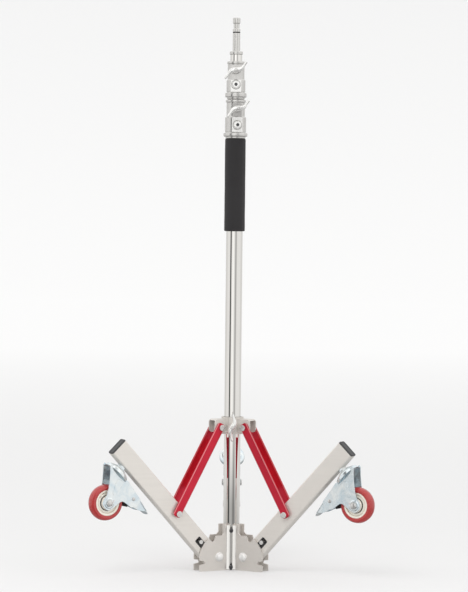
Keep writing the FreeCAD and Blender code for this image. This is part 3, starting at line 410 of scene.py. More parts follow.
def softened(node, width):
    """The CAD node's own shape with its sharp edges rounded over, as a piece that stands for it."""
    work = bmesh.new()
    work.from_mesh(frame["nodes"][node].data)
    bmesh.ops.remove_doubles(work, verts=work.verts, dist=1e-6)
    bmesh.ops.dissolve_limit(work, angle_limit=radians(0.6), verts=work.verts, edges=work.edges)
    mesh = bpy.data.meshes.new(node + "_soft")
    work.to_mesh(mesh)
    work.free()
    piece = add_piece(node + "_finished", mesh, BODY_OF[node], SLOT_OF[node], finish_of(node), 34.0)
    bevelled(piece, width, 2, 36.0, miter_outer="MITER_ARC")
    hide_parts(node)


# ---------------------------------------------------------------- mesh building

class Stock:
    """A mesh being worked, in millimetres, in a frame of its own."""

    def __init__(self):
        self.work = bmesh.new()

    def loft(self, rings, closed=False):
        """A skin over rings of equally many points, capped at both ends or closed on itself."""
        rows = [[self.work.verts.new(point) for point in ring] for ring in rings]
        count = len(rows[0])
        for low, high in list(zip(rows, rows[1:])) + ([(rows[-1], rows[0])] if closed else []):
            for i in range(count):
                j = (i + 1) % count
                self.work.faces.new((low[i], low[j], high[j], high[i]))
        if not closed:
            self.work.faces.new(rows[0])
            self.work.faces.new(rows[-1])
        return self

    def turned(self, profile, at=Matrix(), segments=64, bored=False):
        """A solid turned about Z from (radius, height) points; a third number gives a hexagon's flats."""
        rings = []
        for radius, up, *flats in profile:
            ring = []
            for i in range(segments):
                angle = 2 * pi * i / segments
                size = radius
                if flats:
                    size = min(radius, flats[0] / 2 / cos(angle % (pi / 3) - pi / 6))
                ring.append(at @ Vector((size * cos(angle), size * sin(angle), up)))
            rings.append(ring)
        return self.loft(rings, closed=bored)

    def plate(self, outline, low, high, at=Matrix()):
        """A flat plate: the outline is in X and Z, and low and high are on Y."""
        return self.loft([[at @ Vector((x, y, z)) for x, z in outline] for y in (low, high)])

    def rod(self, path, sizes, at=Matrix(), sides=28):
        """An oval bar along a path in the XZ plane; sizes are its half depth and half width at each point."""
        rings = []
        for i, (here, (deep, wide)) in enumerate(zip(path, sizes)):
            run = path[min(i + 1, len(path) - 1)] - path[max(i - 1, 0)]
            along = Vector((run.x, 0, run.y)).normalized()
            across = Vector((0, 1, 0))
            up = along.cross(across)
            centre = Vector((here.x, 0, here.y))
            rings.append([at @ (centre + across * cos(a) * deep + up * sin(a) * wide)
                          for a in (2 * pi * k / sides for k in range(sides))])
        return self.loft(rings)

    def piece(self, name, place, body, slot, finish=None, bevel=0.0, stands_for=None):
        """The finished mesh, put in its place in the row frame."""
        bmesh.ops.recalc_face_normals(self.work, faces=self.work.faces)
        mesh = bpy.data.meshes.new(name)
        self.work.to_mesh(mesh)
        self.work.free()
        mesh.transform(place @ Matrix.Scale(MM, 4))
        piece = add_piece(name, mesh, body, slot, finish)
        if bevel:
            bevelled(piece, bevel * MM, 3, 38.0)
        if stands_for:
            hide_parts(stands_for)
        return piece


def eased(points, closed=False, steps=5):
    """A line through (a, b, radius) points, with an arc of that radius at each corner."""
    line = []
    last = len(points) - 1
    for i, (a, b, *radius) in enumerate(points):
        here = Vector((a, b))
        if not radius or (not closed and i in (0, last)):
            line.append(here)
            continue
        before = Vector(points[i - 1][:2]) - here
        after = Vector(points[(i + 1) % len(points)][:2]) - here
        half = before.angle(after) / 2
        reach = min(radius[0] / tan(half), before.length * 0.49, after.length * 0.49)
        middle = here + (before.normalized() + after.normalized()).normalized() * (reach / cos(half))
        start = here + before.normalized() * reach - middle
        end = here + after.normalized() * reach - middle
        sweep = atan2(start.x * end.y - start.y * end.x, start.dot(end))
        for k in range(steps + 1):
            turn = sweep * k / steps
            line.append(middle + Vector((start.x * cos(turn) - start.y * sin(turn),
                                         start.x * sin(turn) + start.y * cos(turn))))
    return [tuple(point) for point in line]


def rounded_box(left, right, low, high, radius, top_radius=None, steps=4):
    """The outline of a rectangle with round corners."""
    top = top_radius or radius
    return eased([(left, low, radius), (right, low, radius), (right, high, top), (left, high, top)],
                 closed=True, steps=steps)


def shifted(x, y, z):
    return Matrix.Translation(Vector((x, y, z)))


def height(node, end):
    """The height of a CAD node's bottom (0) or top (1), in millimetres."""
    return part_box(node)[end].z / MM


ACROSS = Matrix.Rotation(-pi / 2, 4, "X")       # turns a solid about Z into one about Y
FORWARD = Matrix.Rotation(pi / 2, 4, "X")       # and into one that points to the front, along -Y


def outward(side):
    """Turns a solid about Z into one about Y that points to a side, +1 or -1."""
    return ACROSS if side > 0 else ACROSS @ Matrix.Rotation(pi, 4, "X")


# ---------------------------------------------------------------- column, risers, spigot and grip

def plain_tube(node, wall=1.5, edge=0.4):
    """A polished tube with both ends broken."""
    low, high = height(node, 0), height(node, 1)
    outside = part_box(node)[1].x / MM
    inside = outside - wall
    profile = eased([(outside, low, edge), (outside, high, edge), (inside, high, edge), (inside, low, edge)],
                    closed=True, steps=3)
    tube = Stock().turned(profile, segments=96, bored=True)
    tube.piece(node + "_polished", Matrix(), BODY_OF[node], SLOT_OF[node], stands_for=node)


def make_spigot():
    """The lamp spigot, turned in one piece with its end ring, and a black ring in its groove as painted shade."""
    top = height("spigot", 1)
    ring = height("inner_tube", 1)
    groove = height("spigot_ring", 0)
    groove_top = height("spigot_ring", 1)
    profile = eased([
        (10.9, ring - 30), (10.9, ring), (13.2, ring, 0.3), (14.0, ring + 0.9, 0.5), (14.0, ring + 5.8, 0.8),
        (12.6, ring + 7.0, 0.6), (9.4, ring + 7.0, 1.0), (8.0, ring + 8.0, 0.8), (8.0, groove, 0.15),
        (6.8, groove), (6.8, groove_top), (8.0, groove_top, 0.15), (8.0, groove_top + 5.4, 0.5),
        (6.25, groove_top + 7.2, 0.8), (6.25, top - 13.0, 0.8), (8.0, top - 11.4, 0.5), (8.0, top - 1.4, 0.7),
        (6.9, top, 0.5), (3.6, top, 0.3), (2.9, top - 2.2),
    ], steps=4)
    spigot = Stock().turned(profile, segments=72)
    spigot.piece("spigot_turned", Matrix(), "upper_riser", "spigot_steel", stands_for="spigot")
    # painted shade: the black ring stands for the dark shade and reflection in the groove
    middle = (groove + groove_top) / 2
    section = [(7.3 + 0.65 * cos(a), middle + 1.15 * sin(a)) for a in (2 * pi * k / 14 for k in range(14))]
    groove_shade_ring = Stock().turned(section, segments=64, bored=True)
    groove_shade_ring.piece("painted_groove_shade", Matrix(), "upper_riser", "black_rubber", stands_for="spigot_ring")


def make_grip():
    """The foam sleeve: rolled ends, and a skin pressed a little uneven by hands."""
    low, high = height("foam_grip", 0), height("foam_grip", 1)
    outside, inside, rows = 22.0, 17.55, 46
    profile = [(inside, low + 1.0)]
    profile += eased([(inside, low), (outside, low, 2.6), (outside, low + 6)], steps=6)[1:]
    for i in range(1, rows):
        profile.append((outside, low + 6 + (high - low - 12) * i / rows))
    profile += eased([(outside, high - 6), (outside, high, 2.6), (inside, high)], steps=6)
    profile.append((inside, high - 1.0))
    grip = Stock().turned(profile, segments=72, bored=True)
    for vertex in grip.work.verts:
        radius = hypot(vertex.co.x, vertex.co.y)
        if radius > inside + 1:
            swell = noise.noise(vertex.co * 0.035) * 0.22 + noise.noise(vertex.co * 0.16) * 0.07 - 0.12
            vertex.co.x *= 1 + swell / radius
            vertex.co.y *= 1 + swell / radius
    piece = grip.piece("foam_sleeve", Matrix(), "column", "foam", stands_for="foam_grip")
    modified(piece, "SUBSURF", levels=1, render_levels=1)


# ---------------------------------------------------------------- clamp collars and T-handles

SEAT_OUT = 1.0                                  # of a collar's machined face, past its body


def handle_frame(joint):
    """A clamp screw's frame: X to the right, -Y along the screw, Z up."""
    return joint_frame(joint, -Vector(JOINTS[joint]["axis"]).cross(Vector((0, 0, 1))))


def fused(name, solids):
    """Several closed solids joined into one skin."""
    made = []
    for i, solid in enumerate(solids):
        bmesh.ops.recalc_face_normals(solid.work, faces=solid.work.faces)
        mesh = bpy.data.meshes.new("%s_raw_%d" % (name, i))
        solid.work.to_mesh(mesh)
        solid.work.free()
        made.append(bpy.data.objects.new(mesh.name, mesh))
        bpy.context.scene.collection.objects.link(made[-1])
    for other in made[1:]:
        modified(made[0], "BOOLEAN", operation="UNION", solver="EXACT", object=other)
    bpy.context.view_layer.update()
    whole = bpy.data.meshes.new_from_object(made[0].evaluated_get(bpy.context.evaluated_depsgraph_get()))
    for work in made:
        bpy.data.objects.remove(work)
    stock = Stock()
    stock.work.from_mesh(whole)
    bmesh.ops.remove_doubles(stock.work, verts=stock.work.verts, dist=0.003)
    return stock


def make_collar(side, carrier, riser, steps, bolt_up):
    """A clamp casting with rolled flanges, a thick and a thin body, a front pad and two bosses."""
    node = side + "_collar"
    low = height(node, 0)
    clamp = handle_frame(side + "_clamp_turn")
    (neck_r, neck_h), (flange_r, flange_h), (body_r, body_h), slim_r, (head_r, head_h) = steps
    lip = height(node, 1) - low
    slim_top = lip - head_h
    flange_top = neck_h + flange_h
    body_top = flange_top + body_h
    outline = eased([
        (carrier, 0.0, 0.4), (neck_r, 0.0, 0.8), (neck_r, neck_h - 0.4, 0.4),
        (flange_r, neck_h - 0.2, 2.6), (flange_r, flange_top - 0.8, 2.6),
        (body_r - 0.6, flange_top - 0.6, 0.5), (body_r - 0.6, flange_top + 1.2),
        (body_r, flange_top + 1.6, 0.4), (body_r, body_top - 1.6, 1.4), (slim_r, body_top + 1.0, 1.2),
        (slim_r, slim_top - 1.2, 0.3), (slim_r - 0.6, slim_top - 1.1), (slim_r - 0.6, slim_top - 0.1, 0.3),
        (head_r, slim_top + 0.1, 2.0), (head_r, lip - 1.0, 2.0), (head_r - 2.6, lip, 0.8),
        (riser, lip, 0.6), (riser, lip - 3.0), (carrier, lip - 3.6),
    ], closed=True, steps=4)
    axis = shifted(0, 0, low)
    turn = axis @ clamp.to_3x3().to_4x4()
    bolt_place = turn @ shifted(0, 0, bolt_up) @ FORWARD
    casting = Stock().turned(outline, axis, segments=72, bored=True)
    rim = rounded_box(-11, 11, flange_top + 0.6, body_top - 1.0, 0.8, 2.5, steps=3)
    seat = Stock().plate(rim, -(body_r + SEAT_OUT), -(body_r - 4), turn)
    upper = rounded_box(-9.5, 9.5, body_top - 2.0, slim_top - 2.0, 1.0, 2.0, steps=3)
    pad = Stock().plate(upper, -(slim_r + 0.6), -(slim_r - 3.5), turn)
    screw_up = JOINTS[side + "_clamp_turn"]["pos_m"][2] / MM - low
    boss = Stock().turned(eased([(8.6, slim_r - 2.5), (8.6, slim_r + 0.6, 0.8), (7.6, slim_r + 1.4, 0.8),
                                 (7.4, body_r + 4.9, 0.9), (4.15, body_r + 4.9)], steps=4),
                          turn @ shifted(0, 0, screw_up) @ FORWARD, segments=48)
    ring = Stock().turned(eased([(10.2, body_r - 4), (10.2, body_r + 2.0, 0.8), (9.2, body_r + 2.8, 0.6),
                                 (8.6, body_r + 2.0, 0.3), (8.5, body_r + 0.2)], steps=4),
                          bolt_place, segments=48)
    casting = fused(node, [casting, pad, boss, ring])
    casting.piece(node + "_casting", Matrix(), BODY_OF[node], "cast_alloy", stands_for=node)
    seat.piece(node + "_seat_face", Matrix(), BODY_OF[node], "cast_alloy", MACHINED, bevel=0.3)
    bolt = Stock().turned(eased([(7.3, body_r + 0.1), (7.3, body_r + 5.0, 0.4), (6.3, body_r + 6.6, 1.6),
                                 (4.6, body_r + 6.9, 0.3)], steps=4)
                          + [(4.3, body_r + 6.7, 6.6), (4.3, body_r + 4.8, 6.6)],
                          bolt_place, segments=48)
    bolt.piece(node + "_socket_bolt", Matrix(), BODY_OF[node], "bolt_steel", MACHINED, bevel=0.12,
               stands_for=node + "_bolt")
    # painted shade: a black disc deep in the bolt's socket stands for the shade inside it
    socket = Stock().turned([(4.2, body_r + 4.6, 6.4), (4.2, body_r + 5.6, 6.4), (2.2, body_r + 5.2, 4.0)],
                            bolt_place, segments=48)
    socket.piece(node + "_painted_socket_shade", Matrix(), BODY_OF[node], "black_oxide")


def make_handle(side, node, boss_end, tilt):
    """A forged S-shaped bar, swelling where the clamp screw passes through it, and the screw."""
    clamp = handle_frame(side + "_clamp_turn")
    out = boss_end + 10.0
    bar_r = 2.75
    bend, bend_r, straight, end = radians(48.0), 10.0, 6.0, 15.0
    half = [Vector((straight * k / 4, 0)) for k in range(1, 5)]
    for k in range(1, 11):
        angle = bend * k / 10
        half.append(Vector((straight + bend_r * sin(angle), bend_r * (1 - cos(angle)))))
    half += [half[-1] + Vector((cos(bend), sin(bend))) * (end * k / 6) for k in range(1, 7)]
    path = [-point for point in reversed(half)] + [Vector((0, 0))] + half
    path = [Matrix.Rotation(radians(tilt), 2) @ point for point in path]
    sizes = []
    for point in path:
        swell = max(0.0, 1 - (point.length / 18.0) ** 2)
        sizes.append((bar_r + 1.75 * swell, bar_r + 2.75 * swell))
    for first, step in ((0, 1), (len(path) - 1, -1)):
        away = (path[first] - path[first + step]).normalized()
        cap = [(path[first] + away * bar_r * sin(a), (bar_r * cos(a), bar_r * cos(a)))
               for a in (0.5, 0.9, 1.2, 1.45)]
        if step == 1:
            path = [point for point, _ in reversed(cap)] + path
            sizes = [size for _, size in reversed(cap)] + sizes
        else:
            path = path + [point for point, _ in cap]
            sizes = sizes + [size for _, size in cap]
    forged = Stock().rod(path, sizes, shifted(0, -out, 0))
    forged.piece(node + "_bar", clamp, BODY_OF[node], "chrome", stands_for=node)
    thread = [(3.4, boss_end - 9)]
    pitch = 1.25
    turns = int((out - 4.5 - boss_end + 8) / pitch)
    for k in range(turns):
        start = boss_end - 8 + k * pitch
        thread += [(3.45, start), (3.95, start + 0.45), (3.95, start + 0.7)]
    thread.append((3.95, out - 4.4))
    thread += eased([(3.95, out + 5.6), (3.95, out + 8.4, 2.6), (0.5, out + 8.5)])
    screw = Stock().turned(thread, FORWARD, segments=40)
    screw.piece(node + "_screw", clamp, BODY_OF[node], "bolt_steel")


# ---------------------------------------------------------------- legs and base

LEG_TOP, LEG_BOTTOM, LEG_HALF, LEG_END = 9.7, -30.3, 10.0, 337.0


def leg_ring(past_end, inset, corner):
    """The leg tube's outline, drawn in by an inset, at a place along it measured from its end."""
    half = LEG_HALF - inset
    outline = rounded_box(-half, half, LEG_BOTTOM + inset, LEG_TOP - inset, corner)
    return [Vector((LEG_END + past_end, y, z)) for y, z in outline]


def make_end_cap(n):
    """A moulded cap pushed into the open end: rounded edge and a shallow dished face."""
    cap = Stock().loft([leg_ring(*ring) for ring in (
        (-14.0, 1.7, 1.6), (0.0, 1.7, 1.6), (0.0, 0.05, 3.0), (2.2, 0.05, 3.0), (3.1, 0.45, 2.7),
        (3.45, 1.2, 2.2), (3.45, 2.4, 1.4), (2.7, 3.0, 1.0))])
    cap.piece("leg_cap_%d" % n, leg_frame(n), "leg_%d" % n, "cap_plastic", stands_for="leg_end_cap_%d" % n)


def make_lock_insert(n):
    """A black moulded frame in the lock opening, with the slot that the cross pin slides in."""
    middle = (LEG_TOP + LEG_BOTTOM) / 2
    frame_edge = rounded_box(43.2, 65.2, middle - 7.4, middle + 7.4, 2.8)
    slot_edge = rounded_box(51.8, 64.4, middle - 3.5, middle + 3.5, 3.3)
    body_edge = rounded_box(44.05, 64.3, middle - 6.45, middle + 6.45, 2.4)
    for side in SIDES:
        rows = []
        for outline, out in ((body_edge, 8.6), (body_edge, 10.0), (frame_edge, 10.02), (frame_edge, 10.4),
                             (slot_edge, 10.4), (slot_edge, 8.6)):
            rows.append([Vector((x, side * out, z)) for x, z in outline])
        Stock().loft(rows, closed=True).piece("lock_insert_%d_%s" % (n, "left" if side < 0 else "right"),
                                              leg_frame(n), "leg_%d" % n, "black_plastic")


def make_pivot_bolts():
    """A domed bolt and washers through each leg's pivot."""
    bolts = Stock()
    for n in LEGS:
        at = Matrix.Scale(1 / MM, 4) @ leg_frame(n) @ Matrix.Scale(MM, 4)
        for side in SIDES:
            facing = at @ outward(side)
            washer = eased([(5.0, 14.02), (9.7, 14.02, 0.2), (9.7, 15.5, 0.5), (8.4, 15.6)], steps=3)
            bolts.turned(washer, facing, segments=48)
            dome = eased([(5.0, 15.4), (8.1, 15.5, 0.3), (8.1, 17.4, 0.9), (6.2, 20.4, 3.2), (1.0, 21.4)])
            bolts.turned(dome, facing, segments=48)
    bolts.piece("pivot_bolts_domed", Matrix(), "column", "bolt_steel", MACHINED, stands_for="leg_pivot_bolts")


def make_gap_lips():
    """The folded lips of the brackets, two in each gap, that the base screws' heads clamp."""
    lips = Stock()
    top = height("base_bracket_1", 1)
    face, near, far = 22.6, 2.3, 10.6
    for turn in (30.0, 150.0, 270.0):
        about = Matrix.Rotation(radians(turn), 4, "Z")
        for side in SIDES:
            section = eased([(17.55, side * near), (face, side * near, 0.9), (face, side * far, 1.6),
                             (17.75, side * (far + 0.3))], closed=True, steps=3)
            lips.loft([[about @ Vector((x, y, z)) for x, y in section] for z in (1.2, top - 1.2)])
    lips.piece("bracket_lips", Matrix(), "column", "polished_steel", bevel=0.4)


# ---------------------------------------------------------------- casters

CASTER = "caster_%d_swivel"
WHEEL = "wheel_%d_spin"
AXLE_BACK, AXLE_DOWN, WHEEL_R = 28.0, 77.4, 37.5        # from the swivel's centre, and the tread's radius


def mirrored(half):
    """A profile and its mirror image across height 0, as one closed line."""
    return half + [(radius, -up) for radius, up in reversed(half)]


def make_wheel(n):
    """A cast red tread on a cream core, with a zinc cover and a black seal over each bearing."""
    place = on_leg(n, WHEEL)
    body = "wheel_%d" % n
    tread = mirrored(eased([(26.9, 9.0), (26.9, 11.2, 0.4), (28.6, 11.9, 0.6), (32.4, 12.1, 1.6),
                            (34.9, 9.0, 3.0), (36.5, 5.6, 6.0), (37.45, 0.25), (37.45, 0.12)], steps=5))
    Stock().turned(tread, ACROSS, segments=96, bored=True).piece(
        "tread_%d" % n, place, body, "red_polyurethane", stands_for="tyre_%d" % n)
    core = mirrored(eased([(4.2, 14.4), (13.6, 14.4, 0.4), (14.6, 13.2, 0.5), (14.9, 9.0, 0.5),
                           (16.0, 8.4, 0.4), (20.6, 9.0, 0.6), (21.1, 6.6), (21.9, 6.6), (22.4, 10.2, 0.8),
                           (26.2, 11.1, 0.9), (27.0, 10.2, 0.5), (27.0, 8.0)], steps=3))
    Stock().turned(core, ACROSS, segments=96, bored=True).piece(
        "core_%d" % n, place, body, "hub_plastic", stands_for="wheel_core_%d" % n)
    covers, seals = Stock(), Stock()
    for side in SIDES:
        covers.turned(eased([(4.3, 13.9), (13.4, 13.9, 0.2), (13.4, 14.7, 0.3), (11.6, 15.1, 0.5),
                             (8.0, 15.2, 0.3), (7.0, 14.8, 0.3), (4.3, 14.8)], closed=True, steps=3),
                      outward(side), bored=True)
        seals.turned([(15.1, 8.0), (16.3, 8.0), (16.3, 10.6), (15.1, 10.6)], outward(side), bored=True)
    covers.piece("bearing_covers_%d" % n, place, body, "zinc")
    seals.piece("hub_seals_%d" % n, place, body, "black_rubber", bevel=0.3)


def make_fork(n):
    """A pressed fork: a domed crown over the ball race and two ribbed plates, with its axle and pedal pin."""
    place = on_leg(n, CASTER)
    body = "fork_%d" % n
    fork = Stock()
    crown = eased([(5.2, -10.65), (17.6, -10.65, 0.8), (19.4, -11.8, 0.8), (23.4, -12.2, 2.0),
                   (27.6, -15.6, 3.2), (28.45, -21.9, 0.3), (26.1, -21.9, 0.3), (25.2, -17.0, 2.4),
                   (20.5, -13.9, 1.0), (5.2, -13.2)], closed=True, steps=4)
    fork.turned(crown, segments=80, bored=True)
    outline = eased([(-27.2, 17.2), (-27.4, 22.0, 4.0), (-15.0, 34.0, 10.0), (0.0, 51.0, 14.0),
                     (12.0, 70.0, 8.0), (13.8, 80.4, 4.0), (18.0, 90.2, 8.0), (28.0, 92.0, 8.0),
                     (38.2, 90.0, 8.0), (42.2, 77.4, 8.0), (45.0, 53.0, 9.0), (71.0, 48.0, 5.0),
                     (80.0, 38.0, 4.0), (76.0, 21.5, 5.0), (25.0, 15.6, 4.0), (22.0, 17.2)],
                    closed=True)
    rib = eased([(2.0, 27.0, 6.0), (19.0, 60.0, 4.0), (26.0, 58.0, 4.0), (21.0, 25.0, 6.0)],
                closed=True, steps=4)
    inner, outer = 15.5, 18.0
    axle = shifted(-AXLE_BACK, 0, -AXLE_DOWN)
    for side in SIDES:
        near, far = sorted((side * inner, side * outer))
        fork.plate([(-back, -down) for back, down in outline], near, far)
        near, far = sorted((side * (outer - 0.3), side * (outer + 0.7)))
        fork.plate([(-back, -down) for back, down in rib], near, far)
        fork.turned(eased([(4.1, 17.5), (11.6, 17.5), (11.6, 18.0, 0.3), (9.8, 18.9, 0.6), (8.2, 18.9, 0.5),
                           (4.1, 18.5)], steps=3), axle @ outward(side), segments=48)
    fork.piece("fork_pressing_%d" % n, place, body, "zinc", bevel=0.35, stands_for="caster_fork_%d" % n)
    pins = Stock()
    for side in SIDES:
        at = axle @ outward(side)
        pins.turned([(5.9, 18.6, 13.0), (8.0, 19.4, 13.0), (8.0, 21.6, 13.0), (5.9, 22.4, 13.0)],
                    at, segments=48)
        pins.turned(eased([(3.9, 14), (3.9, 22.3, 0.6), (2.6, 22.5)], steps=2), at, segments=32)
        at = shifted(-62, 0, -32) @ outward(side)
        pins.turned(eased([(2.5, 12), (2.5, 18.0), (4.0, 18.0, 0.2), (3.9, 19.0, 0.9), (1.2, 19.5)], steps=4),
                    at, segments=32)
    pins.piece("axle_and_pin_%d" % n, place, body, "bolt_steel", stands_for="caster_pins_%d" % n)


def make_stem(n):
    """The stem's nut, the upper ball race and the rolled kingpin head."""
    stem = Stock()
    stem.turned([(8.2, 0.0, 17.0), (10.0, -0.9, 17.0), (10.0, -7.1, 17.0), (8.2, -8.0, 17.0)], segments=60)
    stem.turned(eased([(5.0, -8.0), (15.8, -8.0, 0.5), (17.0, -8.8, 0.5), (17.0, -9.9, 0.4),
                       (14.0, -10.3, 0.4), (5.0, -10.3)], closed=True, steps=3), segments=64, bored=True)
    stem.turned(eased([(4.9, 12.0), (4.9, -13.0), (4.9, -13.7), (7.9, -13.8, 0.3), (7.6, -15.6, 1.2),
                       (3.0, -17.4, 1.0), (1.0, -17.5)], steps=4), segments=48)
    stem.piece("stem_and_race_%d" % n, on_leg(n, CASTER), "leg_%d" % n, "zinc",
               stands_for="caster_stem_%d" % n)


def make_pedal(n):
    """The brake: a pressed lever with turned-down cheeks, and a ribbed rubber shoe."""
    place = on_leg(n, CASTER)
    body = "pedal_%d" % n
    lever = Stock()
    top = [(59.0, 19.0), (63.0, 19.1), (113.0, 26.0, 1.2), (114.0, 27.6, 0.8), (112.5, 28.9, 1.2),
           (84.0, 24.6), (59.0, 21.2)]
    cheek = eased([(59.0, 19.2, 1.0), (104.0, 25.3, 1.0), (103.0, 28.0, 1.0), (92.0, 37.0, 8.0),
                   (74.0, 44.0, 5.0), (54.0, 46.0, 3.0), (53.0, 30.0, 4.0)], closed=True, steps=4)
    half, wall, tip = 13.0, 2.0, 8.0
    rows = []
    for y, shrink in ((-half, 4.0), (-tip, 0.6), (0.0, 0.0), (tip, 0.6), (half, 4.0)):
        rows.append([Vector((-(back - shrink * max(0.0, (back - 90.0) / 24.0) * 2), y, -down))
                     for back, down in eased(top, closed=True, steps=2)])
    lever.loft(rows)
    for low in (half - wall, -half):
        lever.plate([(-back, -down) for back, down in cheek], low, low + wall)
    lever.piece("brake_lever_%d" % n, place, body, "zinc", bevel=0.4, stands_for="brake_pedal_%d" % n)
    shoe = Stock()
    near, far = WHEEL_R + 2.2, WHEEL_R + 9.2
    angles = [radians(-60.0 + 26.0 * k / 12) for k in range(13)]
    face = []
    for k, angle in enumerate(angles):
        radius = near + (0.55 if k % 2 else 0.0)
        face.append((AXLE_BACK + radius * cos(angle), AXLE_DOWN + radius * sin(angle)))
    back_face = [(AXLE_BACK + far * cos(angle), AXLE_DOWN + far * sin(angle)) for angle in reversed(angles)]
    shoe.plate([(-back, -down) for back, down in face + back_face], -10.9, 10.9)
    shoe.piece("brake_shoe_%d" % n, place, body, "black_rubber", bevel=0.25)


# ---------------------------------------------------------------- camera, floor and light

CAMERA_PLACE = Vector((-2.2, -5398.0, 718.0)) * MM
CAMERA_PITCH = 0.0256
CAMERA_ROLL = 0.0106
CAMERA_YAW = -0.0005
SENSOR = 36.0
LENS = 154.945946


def make_camera():
    """A long lens at the front, a little above the middle of the stand."""
    data = bpy.data.cameras.new("camera")
    data.sensor_width = SENSOR
    data.sensor_fit = "AUTO"
    data.lens = LENS
    data.clip_end = 100.0
    camera = bpy.data.objects.new("camera", data)
    bpy.context.scene.collection.objects.link(camera)
    aim = Matrix.Rotation(CAMERA_YAW, 4, "Z") @ Matrix.Rotation(pi / 2 - CAMERA_PITCH, 4, "X")
    camera.matrix_world = Matrix.Translation(CAMERA_PLACE) @ aim @ Matrix.Rotation(CAMERA_ROLL, 4, "Z")
    bpy.context.scene.camera = camera


def studio_paper():
    """Matt white paper, lit a little more the further it is from the stand."""
    finish = Finish("studio_paper", (0.56, 0.56, 0.56), 0.95, 0.0, Specular_IOR_Level=0.1)
    away = finish.node("VectorMath", {"operation": "LENGTH"}, output=1, i0=finish.place((1, 1, 0)))
    far = away.step(5.5, 9.0)
    finish.feed("Emission Color", finish.mix(far, (0.235, 0.235, 0.238), (0.385, 0.387, 0.39)))
    finish.feed("Emission Strength", 1.0)
    return finish.material


def make_sweep():
    """A round paper floor, and a far wall that it bends up into on every side."""
    edge, flat, bend, steps, top, around = 3.0, 20.0, 12.0, 24, 30.0, 96
    floor = [(0.02, 0.0), (1.0, 0.0), (edge, 0.0)]
    wall = [(edge, 0.0), (8.0, 0.0)]
    for i in range(steps + 1):
        angle = pi / 2 * i / steps
        wall.append((flat + bend * sin(angle), bend - bend * cos(angle)))
    wall.append((flat + bend, top))
    paper = studio_paper()
    for name, profile in (("paper_floor", floor), ("paper_wall", wall)):
        work = bmesh.new()
        rows = [[work.verts.new((r * cos(2 * pi * k / around), r * sin(2 * pi * k / around), z))
                 for k in range(around)] for r, z in profile]
        for near, far in zip(rows, rows[1:]):
            for k in range(around):
                work.faces.new((near[k], far[k], far[(k + 1) % around], near[(k + 1) % around]))
        if name == "paper_floor":
            work.faces.new(rows[0])
        bmesh.ops.recalc_face_normals(work, faces=work.faces)
        mesh = bpy.data.meshes.new(name)
        work.to_mesh(mesh)
        work.free()
        mesh.shade_smooth()
        mesh.materials.append(paper)
        sheet = bpy.data.objects.new(name, mesh)
        sheet.visible_glossy = False
        sheet.visible_diffuse = name == "paper_floor"
        sheet.visible_shadow = name == "paper_floor"
        bpy.context.scene.collection.objects.link(sheet)


def soft_box(name, place, target, size, power):
    """A rectangular lamp that lights the stand without showing in its polished tubes."""
    data = bpy.data.lights.new(name, "AREA")
    data.shape = "RECTANGLE"
    data.size, data.size_y = size
    data.energy = power
    light = bpy.data.objects.new(name, data)
    light.location = place
    light.rotation_euler = (Vector(target) - Vector(place)).to_track_quat("-Z", "Y").to_euler()
    light.visible_glossy = False
    bpy.context.scene.collection.objects.link(light)


def flag(around, centre, half, soft):
    """1 within half degrees of a compass direction, measured from the front towards +X, over a soft edge."""
    away = ((around - centre + 540.0).math("MODULO", 360.0) - 180.0).math("ABSOLUTE")
    return 1 - away.step(half, soft)


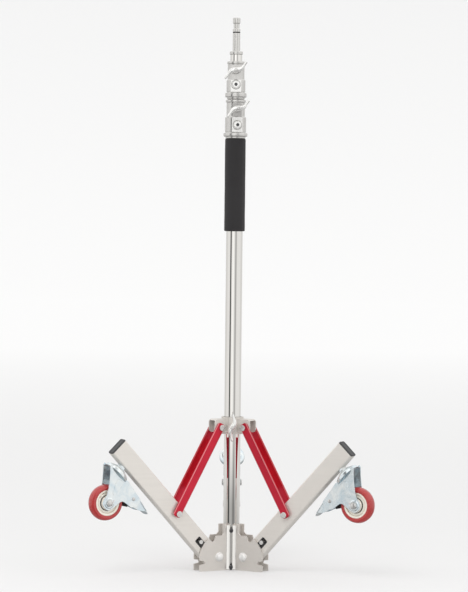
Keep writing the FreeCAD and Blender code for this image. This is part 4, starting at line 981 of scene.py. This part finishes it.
def make_room():
    """A pale room all round, with dark flags that draw lines in polished metal."""
    world = bpy.data.worlds.new("studio_room")
    bpy.context.scene.world = world
    room = Nodes(world)
    split = room.node("SeparateXYZ", Vector=room.node("TexCoord")).socket.node
    x, y, z = (Wave(room.tree, socket) for socket in split.outputs)
    around = x.math("ARCTAN2", y * -1) * (180 / pi)
    brightness = 1.0 + flag(around, -12.0, 12.0, 8.0) * 0.22 - flag(around, -46.0, 9.0, 7.0) * 0.94
    brightness = brightness - flag(around, 24.0, 11.0, 14.0) * 0.5 - flag(around, 180.0, 78.0, 20.0) * 0.15
    brightness = brightness * (1.0 + 0.3 * z.step(0.36, 0.3) - 0.55 * (z * -1).step(0.24, 0.1))
    tone = room.mix(brightness.clamp(0.0, 1.4) / 1.4, (0.0, 0.0, 0.0), (1.4, 1.395, 1.38))
    room.node("OutputWorld", Surface=room.node("Background", Color=tone, Strength=0.95))


def make_lights():
    soft_box("key_overhead", place=(-1.4, -2.2, 3.4), target=(0, 0, 0.5), size=(2.6, 2.2), power=38.0)
    soft_box("fill_right", place=(2.6, -2.6, 1.8), target=(0, 0, 0.4), size=(1.6, 2.4), power=12.0)


make_camera()
make_sweep()
make_room()
make_lights()
bpy.context.scene.view_settings.view_transform = "Standard"


# ---------------------------------------------------------------- pieces

for node, cad in frame["nodes"].items():
    cad.data.materials.clear()
    cad.data.materials.append(finish_of(node).material)

# a collar's radius and height at its neck, flange and thick body, its thin body's radius, and its head
LOWER_STEPS = ((21.25, 4.0), (25.5, 8.5), (22.35, 33.0), 19.5, (21.5, 6.0))
UPPER_STEPS = ((19.0, 4.0), (22.75, 10.0), (20.0, 27.0), 17.8, (19.0, 6.0))

for tube in ("column_tube", "middle_tube", "inner_tube"):
    plain_tube(tube)
make_spigot()
make_grip()
make_collar("lower", 17.5, 15.3, LOWER_STEPS, bolt_up=28.0)
make_collar("upper", 15.0, 12.8, UPPER_STEPS, bolt_up=30.0)
make_handle("lower", "lower_clamp_handle", 27.35, 6.0)
make_handle("upper", "upper_clamp_handle", 25.0, 6.0)
make_handle("spreader", "spreader_handle", 32.0, 58.0)
make_pivot_bolts()
make_gap_lips()
for n in LEGS:
    make_end_cap(n)
    make_lock_insert(n)
    make_stem(n)
    make_fork(n)
    make_wheel(n)
    make_pedal(n)

SOFT_EDGES = {"base_plug": 0.3, "base_screws": 0.4, "spreader_collar": 0.6, "spreader_pins": 0.5}
LEG_SOFT_EDGES = {"base_bracket": 0.4, "leg_tube": 0.25, "lock_pin": 0.3, "strut": 0.7, "strut_rivets": 0.5}

for node, width in SOFT_EDGES.items():
    softened(node, width * MM)
for n in LEGS:
    for stem, width in LEG_SOFT_EDGES.items():
        softened("%s_%d" % (stem, n), width * MM)
